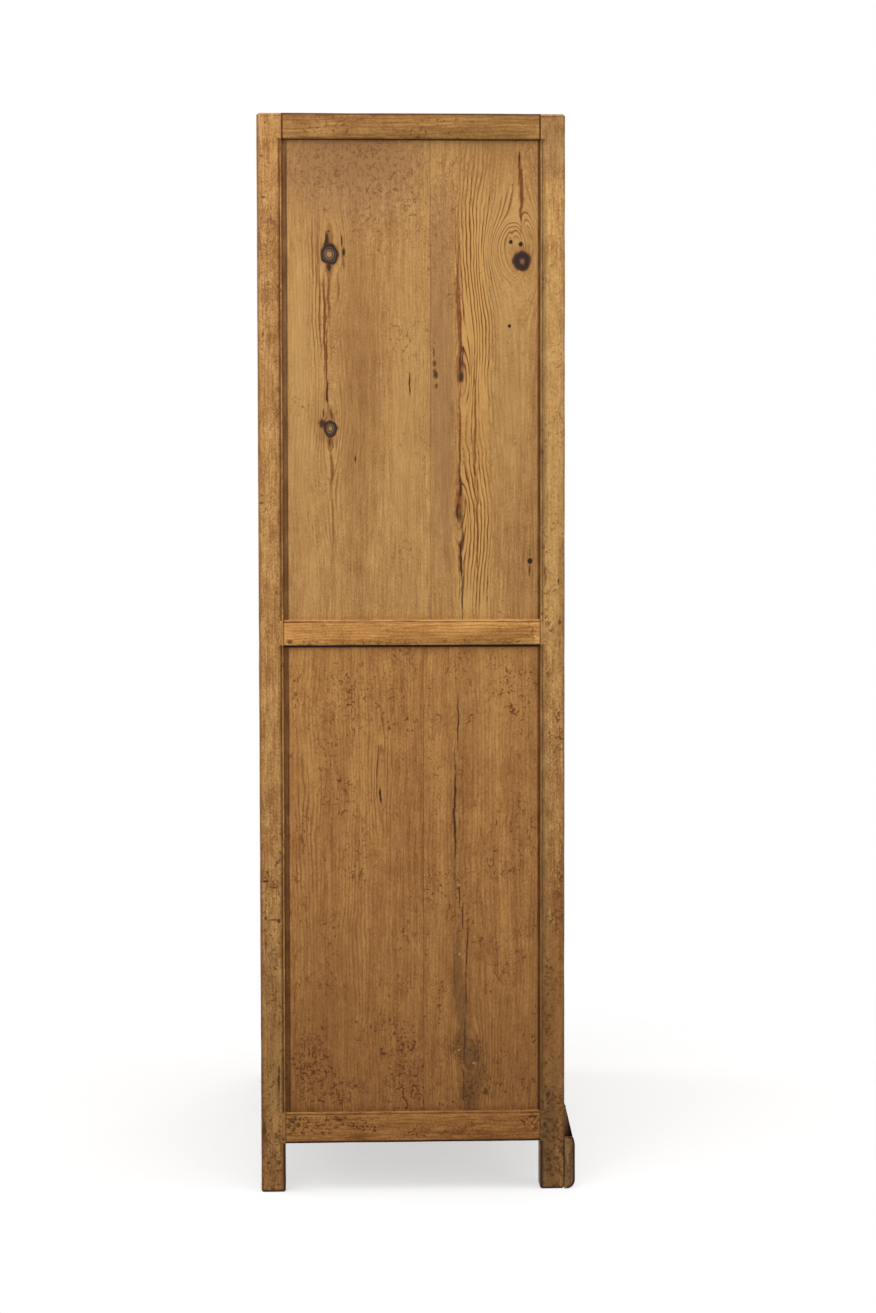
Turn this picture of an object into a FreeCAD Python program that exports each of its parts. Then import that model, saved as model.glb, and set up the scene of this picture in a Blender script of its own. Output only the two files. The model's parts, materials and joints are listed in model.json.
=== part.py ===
import FreeCAD, Part
import math
import os
from FreeCAD import Vector

# Tall Chinese softwood cabinet. Four posts are joined by tenoned rails on three levels, board panels
# float in their grooves, two pairs of doors turn on wooden pivots, and a bulging apron with two foot
# blocks is set on the front. Millimetres, +Z up, front towards -Y, left towards -X. The origin is on
# the floor at the middle of the whole footprint.

# Case
case_width = 1060.0
case_depth = 534.0
case_height = 1880.0
post_size = 43.0
post_round = 5.0
post_top_chamfer = 3.5
leg_end_chamfer = 3.0
leg_height = 86.0
bottom_rail_height = 54.5
mid_rail_underside = 961.5
mid_rail_height = 44.0
top_rail_height = 44.0
rail_thickness = 30.0
front_rail_thickness = 36.0
rail_chamfer = 1.5

# Joinery
groove_depth = 9.0
groove_play = 0.3
tongue_float = 0.5
tenon_inset = 14.0
tenon_thickness = 10.0
tenon_wall = 2.0
tenon_end_wall = 9.0
tenon_margin = 2.0
rebate_margin = 1.0
cut_overrun = 5.0

# Beaded edge round each panel
bead_radius = 1.75
bead_drop = 0.4
bead_shoulder = 4.5

# Floating board panels of the sides and the back
panel_recess = 8.0
panel_thickness = 12.0
panel_tongue = 8.0
board_lap = 6.0
board_gap = 0.3
side_upper_joint_shares = (0.571,)
side_lower_joint_shares = (0.542,)
back_joint_shares = (0.24, 0.49, 0.77)

# Top, floors and shelves
floor_thickness = 16.0
floor_tongue = 8.0
floor_drop = 6.0
floor_groove_depth = 8.0
floor_joint_shares = (0.36, 0.68)
notch_gap = 0.5
batten_width = 40.0
batten_height = 18.0
batten_tenon = 8.0
shelf_thickness = 18.0
shelf_edge_gap = 0.5
shelf_joint_shares = (0.54,)
upper_shelf_height = 1440.0
lower_shelf_height = 540.0
bearer_height = 32.0
bearer_tenon = 8.0

# Apron and foot blocks
foot_projection = 18.4
bulge_height = 149.0
bulge_top_edge = 1.5
knee_height = 92.0
knee_projection = 15.0
knee_end_height = 77.0
toe_round = 16.0
apron_end_set = 5.0
apron_clearance = 3.0
foot_base_width = 62.0
foot_reach = 150.0
foot_inner_end_height = 66.0
foot_instep_height = 16.0
foot_cusp_reach = 100.0
foot_cusp_height = 50.0
apron_arch_height = 81.0
apron_arch_run = 60.0
pendant_reach = 96.0
pendant_turn_reach = 46.0
pendant_turn_height = 71.0
pendant_height = 60.0

# Doors
door_thickness = 28.0
door_setback = 1.0
door_gap = 2.0
hinge_gap = 2.0
meeting_gap = 2.0
door_stop_gap = 0.5
stile_width = 58.0
door_rail_height = 58.0
door_panel_recess = 6.0
door_panel_thickness = 12.0
door_panel_tongue = 7.0
door_tenon_length = 34.0
door_tenon_thickness = 9.0
door_edge_chamfer = 1.5
door_joint_shares = (0.52,)
pivot_radius = 9.0
pivot_clearance = 0.06
pivot_length = 14.0
pivot_end_gap = 0.2

# Brass plates, pull eyes and drop pulls
plate_radius = 51.0
plate_thickness = 1.6
plate_edge_gap = 0.6
upper_plate_share = 0.42
lower_plate_share = 0.64
eye_offset = 27.0
eye_ring_radius = 6.4
eye_ring_sides = 16
eye_wire = 2.2
eye_stand_off = 0.4
eye_shank = 3.6
eye_shank_play = 0.1
eye_tail_length = 15.0
eye_tail_gap = 0.1
pull_hole_radius = 3.0
pull_eye_rim = 2.2
pull_eye_sides = 12
pull_eye_gap = 0.5
pull_thickness = 2.6
pull_length = 66.0
pull_neck_width = 5.0
pull_neck_length = 7.0
pull_body_width = 20.0
pull_body_share = 0.70

# Places that follow from the sizes above
left_face = -case_width / 2
front_face = (foot_projection - case_depth) / 2
back_face = front_face + case_depth
post_inner_x = left_face + post_size
post_inner_front = front_face + post_size
post_inner_back = back_face - post_size
levels = {
    "bottom": (leg_height, leg_height + bottom_rail_height),
    "mid": (mid_rail_underside, mid_rail_underside + mid_rail_height),
    "top": (case_height - top_rail_height, case_height),
}
front_levels = dict(levels, bottom=(leg_height, bulge_height + apron_clearance))
openings = {
    "lower": (levels["bottom"][1], levels["mid"][0]),
    "upper": (levels["mid"][1], levels["top"][0]),
}
tenon_shoulder = groove_depth + tenon_margin
side_tenon_length = post_size - tenon_end_wall
front_tenon_length = post_size - tenon_inset - tenon_thickness - tenon_wall
rebate_width = groove_depth + rebate_margin
panel_inner_face = panel_recess + panel_thickness
shelf_heights = (lower_shelf_height, upper_shelf_height)
door_face = front_face + door_setback
door_left = post_inner_x + hinge_gap
door_right = -meeting_gap / 2
pivot_x = door_left + door_thickness / 2
pivot_y = door_face + door_thickness / 2
pivot_depth = pivot_length - door_gap + pivot_end_gap
case_tenon = (tenon_inset, tenon_inset + tenon_thickness)
case_groove = (panel_recess - groove_play / 2, panel_recess + panel_tongue + groove_play / 2)
door_groove = (door_panel_recess - groove_play / 2, door_panel_recess + door_panel_tongue + groove_play / 2)
door_tenon = ((door_thickness - door_tenon_thickness) / 2, (door_thickness + door_tenon_thickness) / 2)
floor_tops = {name: high - floor_drop for name, (low, high) in levels.items()}
eye_x = door_right - eye_offset
eye_y = door_face - plate_thickness - eye_stand_off - eye_wire / 2 - eye_ring_radius

x_axis = Vector(1, 0, 0)
y_axis = Vector(0, 1, 0)
z_axis = Vector(0, 0, 1)
full_turn = math.degrees(2 * math.pi)
plane_tolerance = 1e-4


class Sheet:
    """A drawing plane in the cabinet: v runs across it, t down into the wood, a along the piece."""

    def __init__(self, origin, across, depth, along):
        self.origin = origin
        self.across = across
        self.depth = depth
        self.along = along

    def point(self, v, t, a):
        return self.origin + self.across * v + self.depth * t + self.along * a

    def face(self, outline, start=0):
        """Fill a closed outline. An item is a corner, or a (middle, end) pair for an arc."""
        corners = [item[1] if isinstance(item[0], tuple) else item for item in outline]
        edges = []
        for index, item in enumerate(outline):
            last = self.point(*corners[index - 1], start)
            here = self.point(*corners[index], start)
            if isinstance(item[0], tuple):
                edges.append(Part.Arc(last, self.point(*item[0], start), here).toShape())
            else:
                edges.append(Part.LineSegment(last, here).toShape())
        return Part.Face(Part.Wire(edges))

    def prism(self, outline, start, end):
        return self.face(outline, start).extrude(self.along * (end - start))

    def block(self, v0, v1, t0, t1, start, end):
        return self.prism([(v0, t0), (v1, t0), (v1, t1), (v0, t1)], start, end)


def mirrored(shape):
    return shape.mirror(Vector(), x_axis)


def fused(shapes):
    return shapes[0].multiFuse(shapes[1:]).removeSplitter()


def arc_middle(touch, direction, end):
    """Middle of the arc that leaves touch along direction and ends at end."""
    chord = (end[0] - touch[0], end[1] - touch[1])
    normal = (-direction[1], direction[0])
    rise = chord[0] * normal[0] + chord[1] * normal[1]
    radius = (chord[0] ** 2 + chord[1] ** 2) / (2 * rise)
    centre = (touch[0] + normal[0] * radius, touch[1] + normal[1] * radius)
    bisector = (touch[0] + end[0] - 2 * centre[0], touch[1] + end[1] - 2 * centre[1])
    scale = abs(radius) / math.hypot(*bisector)
    return (centre[0] + bisector[0] * scale, centre[1] + bisector[1] * scale)


def chamfered_outline(v0, v1, thickness, low_cut, high_cut):
    """A rectangle below the face t = 0, with its two corners on that face cut off by the sizes given."""
    points = [
        (v0, low_cut),
        (v0 + low_cut, 0),
        (v1 - high_cut, 0),
        (v1, high_cut),
        (v1, thickness),
        (v0, thickness),
    ]
    return [point for index, point in enumerate(points) if point != points[index - 1]]


def bead_cut(sheet, start, end):
    """Waste beside a beaded edge: v runs from the arris across the face, t into the wood."""
    quirk = bead_drop + bead_radius
    bead_width = 2 * bead_radius
    reach = bead_width + bead_shoulder
    outline = [
        (-cut_overrun, -cut_overrun),
        (reach, -cut_overrun),
        (reach, 0),
        (bead_width, quirk),
        ((bead_radius, bead_drop), (0, quirk)),
        (-cut_overrun, quirk),
    ]
    return sheet.prism(outline, start, end)


def board_outline(v0, v1, thickness, left_edge, right_edge):
    """Section of a board: each edge gives the set-back of face and back and the depth of the step."""
    left_face_set, left_back_set, left_step = left_edge
    right_face_set, right_back_set, right_step = right_edge
    points = [
        (v0 + left_face_set, 0),
        (v1 - right_face_set, 0),
        (v1 - right_face_set, right_step),
        (v1 - right_back_set, right_step),
        (v1 - right_back_set, thickness),
        (v0 + left_back_set, thickness),
        (v0 + left_back_set, left_step),
        (v0 + left_face_set, left_step),
    ]
    return [point for index, point in enumerate(points) if point != points[index - 1]]


def boards(sheet, v0, v1, a0, a1, thickness, tongue, rebate, joint_shares):
    """Lapped boards side by side; with a tongue, all four outer edges are thinned from the back."""
    half = thickness / 2
    play = board_gap / 2
    outer = (0, rebate, tongue) if rebate else (0, 0, half)
    over = (play, board_lap + play, half - play)
    under = (play, play - board_lap, half + play)
    marks = [v0] + [v0 + (v1 - v0) * share for share in joint_shares] + [v1]
    solids = []
    for index in range(len(marks) - 1):
        left = outer if index == 0 else under
        right = outer if index == len(marks) - 2 else over
        section = board_outline(marks[index], marks[index + 1], thickness, left, right)
        board = sheet.prism(section, a0, a1)
        if rebate:
            edge = (v0 - cut_overrun, v1 + cut_overrun, tongue, thickness + cut_overrun)
            board = board.cut(sheet.block(*edge, a0 - cut_overrun, a0 + rebate))
            board = board.cut(sheet.block(*edge, a1 - rebate, a1 + cut_overrun))
        solids.append(board)
    return solids


def beside(sheet, v, away):
    """Plane for the bead along the edge at v of a member, with away pointing across its face."""
    return Sheet(sheet.point(v, 0, 0), sheet.across * away, sheet.depth, sheet.along)


def corner_blocks(gap):
    """Room for the four posts, for the notches of the boards that pass between them."""
    tall = (-cut_overrun, case_height + cut_overrun)
    solids = []
    for side in (x_axis, -x_axis):
        for outer_y, inward in ((front_face, y_axis), (back_face, -y_axis)):
            sheet = Sheet(side * left_face + y_axis * outer_y, side, inward, z_axis)
            solids.append(sheet.block(-cut_overrun, post_size + gap, -cut_overrun, post_size + gap, *tall))
    return solids


def left_post(is_front):
    """Corner post: v is measured from the left face, t from the front or back face, a from the floor."""
    outer_y, inner_y, inward = front_face, post_inner_front, y_axis
    cross_levels = front_levels
    if not is_front:
        outer_y, inner_y, inward = back_face, post_inner_back, -y_axis
        cross_levels = levels
    sheet = Sheet(Vector(left_face, outer_y, 0), x_axis, inward, z_axis)
    set_in = post_round * (1 - math.sqrt(1 / 2))
    corner = [(0, post_round), ((set_in, set_in), (post_round, 0))]
    section = corner + [(post_size, 0), (post_size, post_size), (0, post_size)]
    post = sheet.prism(section, 0, case_height)

    def at_height(edge, height):
        return max(abs(vertex.Z - height) for vertex in edge.Vertexes) < plane_tolerance

    def on_inner_face(edge):
        centre = edge.CenterOfMass
        return min(abs(centre.x - post_inner_x), abs(centre.y - inner_y)) < plane_tolerance

    tops = [edge for edge in post.Edges if at_height(edge, case_height) and not on_inner_face(edge)]
    post = post.makeChamfer(post_top_chamfer, tops)
    post = post.makeChamfer(leg_end_chamfer, [edge for edge in post.Edges if at_height(edge, 0)])

    inner = post_size + cut_overrun
    cuts = []
    for name in levels:
        low, high = levels[name]
        height = (low + tenon_shoulder, high - tenon_shoulder)
        cuts.append(sheet.block(*case_tenon, post_size - side_tenon_length, inner, *height))
        low, high = cross_levels[name]
        height = (low + tenon_shoulder, high - tenon_shoulder)
        cuts.append(sheet.block(post_size - front_tenon_length, inner, *case_tenon, *height))
    groove_start = post_size - groove_depth
    bead_plane = Sheet(Vector(left_face, inner_y, 0), -inward, x_axis, z_axis)
    for low, high in openings.values():
        run = (low - groove_depth, high + groove_depth)
        cuts.append(sheet.block(*case_groove, groove_start, inner, *run))
        if not is_front:
            cuts.append(sheet.block(groove_start, inner, *case_groove, *run))
        cuts.append(bead_cut(bead_plane, low, high))
    for height in shelf_heights:
        seat = height - shelf_thickness
        notch = (panel_inner_face + shelf_edge_gap, inner, post_size - bearer_tenon, inner)
        cuts.append(sheet.block(*notch, seat - bearer_height, seat))
    return post.cut(cuts)


def tenoned_rail(sheet, level, length, thickness, tenon, tenon_length, chamfers):
    """Rail with a tenon at each end: v is height, t from the outer face, a from the first shoulder."""
    low, high = level
    section = chamfered_outline(low, high, thickness, *chamfers)
    height = (low + tenon_shoulder, high - tenon_shoulder)
    core = sheet.block(*height, *tenon, -tenon_length, length + tenon_length)
    return fused([sheet.prism(section, 0, length), core])


def panel_edge_cuts(sheet, level, length, above, below, groove):
    """Grooves along the rail edges that hold a panel."""
    low, high = level
    cuts = []
    if above:
        cuts.append(sheet.block(high - groove_depth, high + cut_overrun, *groove, 0, length))
    if below:
        cuts.append(sheet.block(low - cut_overrun, low + groove_depth, *groove, 0, length))
    return cuts


def upper_bead(sheet, level, length):
    return bead_cut(beside(sheet, level[1], -1), 0, length)


def lower_bead(sheet, level, length):
    return bead_cut(beside(sheet, level[0], 1), 0, length)


def floor_cut(sheet, name, thickness, length):
    """Groove in the inner face of a rail for the edge of the floor at its level."""
    play = groove_play / 2
    height = (floor_tops[name] - floor_tongue - play, floor_tops[name] + play)
    return sheet.block(*height, thickness - floor_groove_depth, thickness + cut_overrun, 0, length)


def batten_cut(sheet, name, thickness, length):
    seat = floor_tops[name] - floor_thickness
    run = ((length - batten_width) / 2, (length + batten_width) / 2)
    return sheet.block(seat - batten_height, seat, thickness - batten_tenon, thickness + cut_overrun, *run)


def outer_chamfers(name):
    return (rail_chamfer if name == "bottom" else 0, rail_chamfer if name == "top" else 0)


def left_side_rail(name):
    """Side rail: the lower arris is taken off, the upper one is beaded where a panel stands on it."""
    sheet = Sheet(Vector(left_face, post_inner_front, 0), z_axis, x_axis, y_axis)
    length = post_inner_back - post_inner_front
    chamfers = (rail_chamfer, rail_chamfer if name == "top" else 0)
    rail = tenoned_rail(sheet, levels[name], length, rail_thickness, case_tenon, side_tenon_length, chamfers)
    cuts = panel_edge_cuts(sheet, levels[name], length, name != "top", name != "bottom", case_groove)
    cuts.append(floor_cut(sheet, name, rail_thickness, length))
    if name != "top":
        cuts.append(upper_bead(sheet, levels[name], length))
    return rail.cut(cuts)


def back_rail(name):
    sheet = Sheet(Vector(post_inner_x, back_face, 0), z_axis, -y_axis, x_axis)
    length = -2 * post_inner_x
    rail = tenoned_rail(sheet, levels[name], length, rail_thickness, case_tenon, front_tenon_length,
                        outer_chamfers(name))
    cuts = panel_edge_cuts(sheet, levels[name], length, name != "top", name != "bottom", case_groove)
    cuts += [cut(sheet, name, rail_thickness, length) for cut in (floor_cut, batten_cut)]
    return rail.cut(cuts)


def front_rail(name):
    """Front rail, with sockets for the pivots of the doors above and below it."""
    low, high = front_levels[name]
    sheet = Sheet(Vector(post_inner_x, front_face, 0), z_axis, y_axis, x_axis)
    length = -2 * post_inner_x
    rail = tenoned_rail(sheet, (low, high), length, front_rail_thickness, case_tenon, front_tenon_length,
                        outer_chamfers(name))
    cuts = [cut(sheet, name, front_rail_thickness, length) for cut in (floor_cut, batten_cut)]
    socket_radius = pivot_radius + pivot_clearance
    for x in (pivot_x, -pivot_x):
        if name != "top":
            cuts.append(Part.makeCylinder(socket_radius, pivot_depth, Vector(x, pivot_y, high), -z_axis))
        if name != "bottom":
            cuts.append(Part.makeCylinder(socket_radius, pivot_depth, Vector(x, pivot_y, low), z_axis))
    return rail.cut(cuts)


def left_side_panel(name, joint_shares):
    low, high = openings[name]
    sheet = Sheet(Vector(left_face + panel_recess, post_inner_back, 0), -y_axis, x_axis, z_axis)
    width = post_inner_back - post_inner_front
    reach = groove_depth - tongue_float
    return boards(sheet, -reach, width + reach, low - reach, high + reach,
                  panel_thickness, panel_tongue, rebate_width, joint_shares)


def back_panel(name):
    low, high = openings[name]
    sheet = Sheet(Vector(post_inner_x, back_face - panel_recess, 0), x_axis, -y_axis, z_axis)
    reach = groove_depth - tongue_float
    return boards(sheet, -reach, reach - 2 * post_inner_x, low - reach, high + reach,
                  panel_thickness, panel_tongue, rebate_width, back_joint_shares)


def floor_boards(name):
    """Floor or top: boards along X whose edges sit in the rails, notched round the posts."""
    start = front_face + front_rail_thickness
    width = back_face - rail_thickness - start
    sheet = Sheet(Vector(0, start, floor_tops[name]), y_axis, -z_axis, x_axis)
    reach = floor_groove_depth - tongue_float
    end = left_face + rail_thickness - reach
    solids = boards(sheet, -reach, width + reach, end, -end, floor_thickness, floor_tongue,
                    floor_groove_depth + rebate_margin, floor_joint_shares)
    return [board.cut(corner_blocks(notch_gap)) for board in solids]


def cross_battens():
    start = front_face + front_rail_thickness - batten_tenon
    end = back_face - rail_thickness + batten_tenon
    sheet = Sheet(Vector(), x_axis, z_axis, y_axis)
    solids = []
    for floor_top in floor_tops.values():
        seat = floor_top - floor_thickness
        section = (-batten_width / 2, batten_width / 2, seat - batten_height, seat)
        solids.append(sheet.block(*section, start, end))
    return solids


def shelf(height):
    start = door_face + door_thickness + door_stop_gap
    depth = back_face - panel_inner_face - shelf_edge_gap - start
    sheet = Sheet(Vector(0, start, height), y_axis, -z_axis, x_axis)
    end = left_face + panel_inner_face + shelf_edge_gap
    solids = boards(sheet, 0, depth, end, -end, shelf_thickness, 0, 0, shelf_joint_shares)
    return [board.cut(corner_blocks(notch_gap)) for board in solids]


def shelf_bearers():
    sheet = Sheet(Vector(left_face, 0, 0), x_axis, z_axis, y_axis)
    solids = []
    for height in shelf_heights:
        seat = height - shelf_thickness
        bearer = sheet.block(panel_inner_face + shelf_edge_gap, post_size, seat - bearer_height, seat,
                             post_inner_front - bearer_tenon, post_inner_back + bearer_tenon)
        solids += [bearer, mirrored(bearer)]
    return solids


def bulge(start, end):
    """The swelling front of apron and feet: v is measured forward of the posts, t up from the floor."""
    sheet = Sheet(Vector(0, front_face, 0), -y_axis, z_axis, x_axis)
    knee_end = (foot_projection, knee_end_height)
    knee = (knee_projection, knee_height)
    toe_top = (foot_projection, toe_round)
    toe = (foot_projection - toe_round, 0)
    outline = [
        (0, 0),
        (0, bulge_height),
        (bulge_top_edge, bulge_height),
        knee,
        (arc_middle(knee_end, (0, 1), knee), knee_end),
        toe_top,
        (arc_middle(toe_top, (0, -1), toe), toe),
    ]
    return sheet.prism(outline, start, end)


def front_outline():
    """Plane of the front view: v along X, t up, drawn from the posts forward."""
    return Sheet(Vector(0, front_face, 0), x_axis, z_axis, -y_axis)


def left_front_foot():
    """Foot block with a cusped bracket edge that rises to the lower edge of the apron."""
    instep = (left_face + foot_base_width, foot_instep_height)
    cusp = (left_face + foot_cusp_reach, foot_cusp_height)
    inner_end = (left_face + foot_reach, foot_inner_end_height)
    outline = [
        (left_face, 0),
        (left_face + foot_base_width, 0),
        instep,
        (arc_middle(instep, (0, 1), cusp), cusp),
        (arc_middle(inner_end, (-1, 0), cusp), inner_end),
        (left_face + foot_reach, knee_height),
        (left_face, knee_height),
    ]
    face = front_outline().prism(outline, 0, foot_projection)
    return bulge(left_face, left_face + foot_reach).common(face)


def front_apron():
    """Apron with a shallow arch at each side and a pendant in the middle."""
    arch_start = (left_face + foot_reach, foot_inner_end_height)
    arch = (left_face + foot_reach + apron_arch_run, apron_arch_height)
    pendant_start = (-pendant_reach, apron_arch_height)
    turn = (-pendant_turn_reach, pendant_turn_height)
    pendant = (0, pendant_height)
    outline = [
        (left_face + apron_end_set, bulge_height),
        (left_face + apron_end_set, knee_height),
        (left_face + foot_reach, knee_height),
        arch_start,
        (arc_middle(arch, (-1, 0), arch_start), arch),
        pendant_start,
        (arc_middle(pendant_start, (1, 0), turn), turn),
        (arc_middle(pendant, (-1, 0), turn), pendant),
        (0, bulge_height),
    ]
    half = bulge(left_face, 0).common(front_outline().prism(outline, 0, foot_projection))
    return fused([half, mirrored(half)])


def door_stile(is_hinge, low, high):
    """Door stile: v from its outer edge, t from the door face. The hinge stile carries the pivots."""
    radius = door_thickness / 2
    outer_x, inward = (door_left, x_axis) if is_hinge else (door_right, -x_axis)
    sheet = Sheet(Vector(outer_x, door_face, 0), inward, y_axis, z_axis)
    if is_hinge:
        back_round = (radius, door_thickness)
        section = [((0, radius), (radius, 0)), (stile_width, 0), (stile_width, door_thickness), back_round]
    else:
        section = chamfered_outline(0, stile_width, door_thickness, door_edge_chamfer, 0)
    stile = sheet.prism(section, low, high)
    if is_hinge:
        pivots = [
            Part.makeCylinder(pivot_radius, pivot_length, Vector(pivot_x, pivot_y, high), z_axis),
            Part.makeCylinder(pivot_radius, pivot_length, Vector(pivot_x, pivot_y, low), -z_axis),
        ]
        stile = fused([stile] + pivots)
    inner = stile_width + cut_overrun
    panel_low, panel_high = low + door_rail_height, high - door_rail_height
    groove_run = (panel_low - groove_depth, panel_high + groove_depth)
    cuts = [sheet.block(stile_width - groove_depth, inner, *door_groove, *groove_run)]
    for rail_low, rail_high in ((low, panel_low), (panel_high, high)):
        height = (rail_low + tenon_shoulder, rail_high - tenon_shoulder)
        cuts.append(sheet.block(stile_width - door_tenon_length, inner, *door_tenon, *height))
    cuts.append(bead_cut(beside(sheet, stile_width, -1), panel_low, panel_high))
    return stile.cut(cuts)


def door_rail(is_top, low, high):
    level = (high - door_rail_height, high) if is_top else (low, low + door_rail_height)
    sheet = Sheet(Vector(door_left + stile_width, door_face, 0), z_axis, y_axis, x_axis)
    length = door_right - door_left - 2 * stile_width
    rail = tenoned_rail(sheet, level, length, door_thickness, door_tenon, door_tenon_length, (0, 0))
    cuts = panel_edge_cuts(sheet, level, length, not is_top, is_top, door_groove)
    cuts.append(lower_bead(sheet, level, length) if is_top else upper_bead(sheet, level, length))
    return rail.cut(cuts)


def door_panel(low, high):
    sheet = Sheet(Vector(door_left, door_face + door_panel_recess, 0), x_axis, y_axis, z_axis)
    reach = groove_depth - tongue_float
    edge = stile_width - reach
    rail = door_rail_height - reach
    return boards(sheet, edge, door_right - door_left - edge, low + rail, high - rail,
                  door_panel_thickness, door_panel_tongue, rebate_width, door_joint_shares)


def shank_bar(side, start, end, height):
    """Square bar along Y at the place of the pull eye."""
    sheet = Sheet(Vector(eye_x, 0, height), x_axis, z_axis, y_axis)
    return sheet.block(-side / 2, side / 2, -side / 2, side / 2, start, end)


def shank_hole(height):
    """Hole for the shank of the pull eye, through plate and stile."""
    start = door_face - plate_thickness - cut_overrun
    end = door_face + door_thickness + cut_overrun
    return shank_bar(eye_shank + 2 * eye_shank_play, start, end, height)


def half_plate(height):
    """Half of a round flat plate, on the edge of the meeting stile."""
    sheet = Sheet(Vector(door_right - plate_edge_gap, door_face, height), -x_axis, z_axis, -y_axis)
    outline = [(0, -plate_radius), ((plate_radius, 0), (0, plate_radius))]
    return sheet.prism(outline, 0, plate_thickness).cut(shank_hole(height))


def flats(radius, sides, middle=0):
    """Corners of a hammered or filed round, with a flat side across each axis."""
    step = math.radians(full_turn) / sides
    turns = [step * (index + 1 / 2) for index in range(sides)]
    return [(radius * math.sin(turn), middle + radius * math.cos(turn)) for turn in turns]


def wire_ring(height):
    """Ring hammered from square wire, which stands across the door."""
    sheet = Sheet(Vector(eye_x, eye_y, height), y_axis, z_axis, x_axis)
    outer, inner = [sheet.prism(flats(eye_ring_radius + step, eye_ring_sides), -eye_wire / 2, eye_wire / 2)
                    for step in (eye_wire / 2, -eye_wire / 2)]
    return outer.cut(inner)


def pull_eye(height):
    """Ring on a square shank that passes through the stile and is turned over behind it."""
    half = eye_wire / 2
    tail_y = door_face + door_thickness + eye_tail_gap + half
    tails = Sheet(Vector(eye_x, tail_y, height), x_axis, y_axis, z_axis)
    return fused([
        wire_ring(height),
        shank_bar(eye_shank, eye_y + eye_ring_radius, tail_y, height),
        tails.block(-half, half, -half, half, -eye_tail_length, eye_tail_length),
    ])


def drop_pull(height):
    """Flat drop that widens to a pointed base; its eye hangs in the ring and swings round its middle."""
    drop = eye_ring_radius + pull_hole_radius - eye_wire / 2 - pull_eye_gap
    eye_radius = pull_hole_radius + pull_eye_rim
    neck_half = pull_neck_width / 2
    neck_top = drop + pull_hole_radius + pull_eye_rim / 2
    neck_end = drop + eye_radius + pull_neck_length
    belly = (pull_body_width / 2, neck_end + (pull_length - neck_end) * pull_body_share)
    tip = (0, pull_length)
    base_middle = arc_middle(belly, (0, 1), tip)
    outline = [
        (-neck_half, neck_top),
        (neck_half, neck_top),
        (neck_half, neck_end),
        belly,
        (base_middle, tip),
        ((-base_middle[0], base_middle[1]), (-belly[0], belly[1])),
        (-neck_half, neck_end),
    ]
    sheet = Sheet(Vector(eye_x, eye_y - pull_thickness / 2, height), x_axis, -z_axis, y_axis)
    eye, hole = [sheet.prism(flats(radius, pull_eye_sides, drop), 0, pull_thickness)
                 for radius in (eye_radius, pull_hole_radius)]
    return fused([eye, sheet.prism(outline, 0, pull_thickness)]).cut(hole)


def left_door(low, high, plate_share):
    """All the pieces of one left-hand door, by the last part of their names."""
    plate_height = low + (high - low) * plate_share
    return {
        "hinge_stile": [door_stile(True, low, high)],
        "meeting_stile": [door_stile(False, low, high).cut(shank_hole(plate_height))],
        "door_top_rail": [door_rail(True, low, high)],
        "door_bottom_rail": [door_rail(False, low, high)],
        "door_panel": door_panel(low, high),
        "plate": [half_plate(plate_height), pull_eye(plate_height)],
        "pull": [drop_pull(plate_height)],
    }


def all_nodes():
    """Every piece of the cabinet as a list of solids by node name."""
    nodes = {}

    def both_sides(left_name, right_name, solids):
        nodes[left_name] = solids
        nodes[right_name] = [mirrored(solid) for solid in solids]

    both_sides("front_left_post", "front_right_post", [left_post(True)])
    both_sides("back_left_post", "back_right_post", [left_post(False)])
    for name in levels:
        both_sides(f"left_{name}_rail", f"right_{name}_rail", [left_side_rail(name)])
        nodes[f"front_{name}_rail"] = [front_rail(name)]
        nodes[f"back_{name}_rail"] = [back_rail(name)]
    for name, shares in (("upper", side_upper_joint_shares), ("lower", side_lower_joint_shares)):
        both_sides(f"left_{name}_panel", f"right_{name}_panel", left_side_panel(name, shares))
        nodes[f"back_{name}_panel"] = back_panel(name)
    nodes["top_panel"] = floor_boards("top")
    nodes["mid_floor"] = floor_boards("mid")
    nodes["bottom_floor"] = floor_boards("bottom")
    nodes["cross_battens"] = cross_battens()
    nodes["upper_shelf"] = shelf(upper_shelf_height)
    nodes["lower_shelf"] = shelf(lower_shelf_height)
    nodes["shelf_bearers"] = shelf_bearers()
    both_sides("left_front_foot", "right_front_foot", [left_front_foot()])
    nodes["front_apron"] = [front_apron()]
    upper = (front_levels["mid"][1] + door_gap, front_levels["top"][0] - door_gap)
    lower = (front_levels["bottom"][1] + door_gap, front_levels["mid"][0] - door_gap)
    for name, height, share in (("upper", upper, upper_plate_share), ("lower", lower, lower_plate_share)):
        for piece, solids in left_door(*height, share).items():
            both_sides(f"{name}_left_{piece}", f"{name}_right_{piece}", solids)
    return nodes


os.makedirs("parts", exist_ok=True)
for node, solids in all_nodes().items():
    shape = solids[0] if len(solids) == 1 else Part.makeCompound(solids)
    shape.exportStep(f"parts/{node}.step")
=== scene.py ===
import bmesh
import bpy
import json
import math
from mathutils import Matrix, Vector, noise


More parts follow.
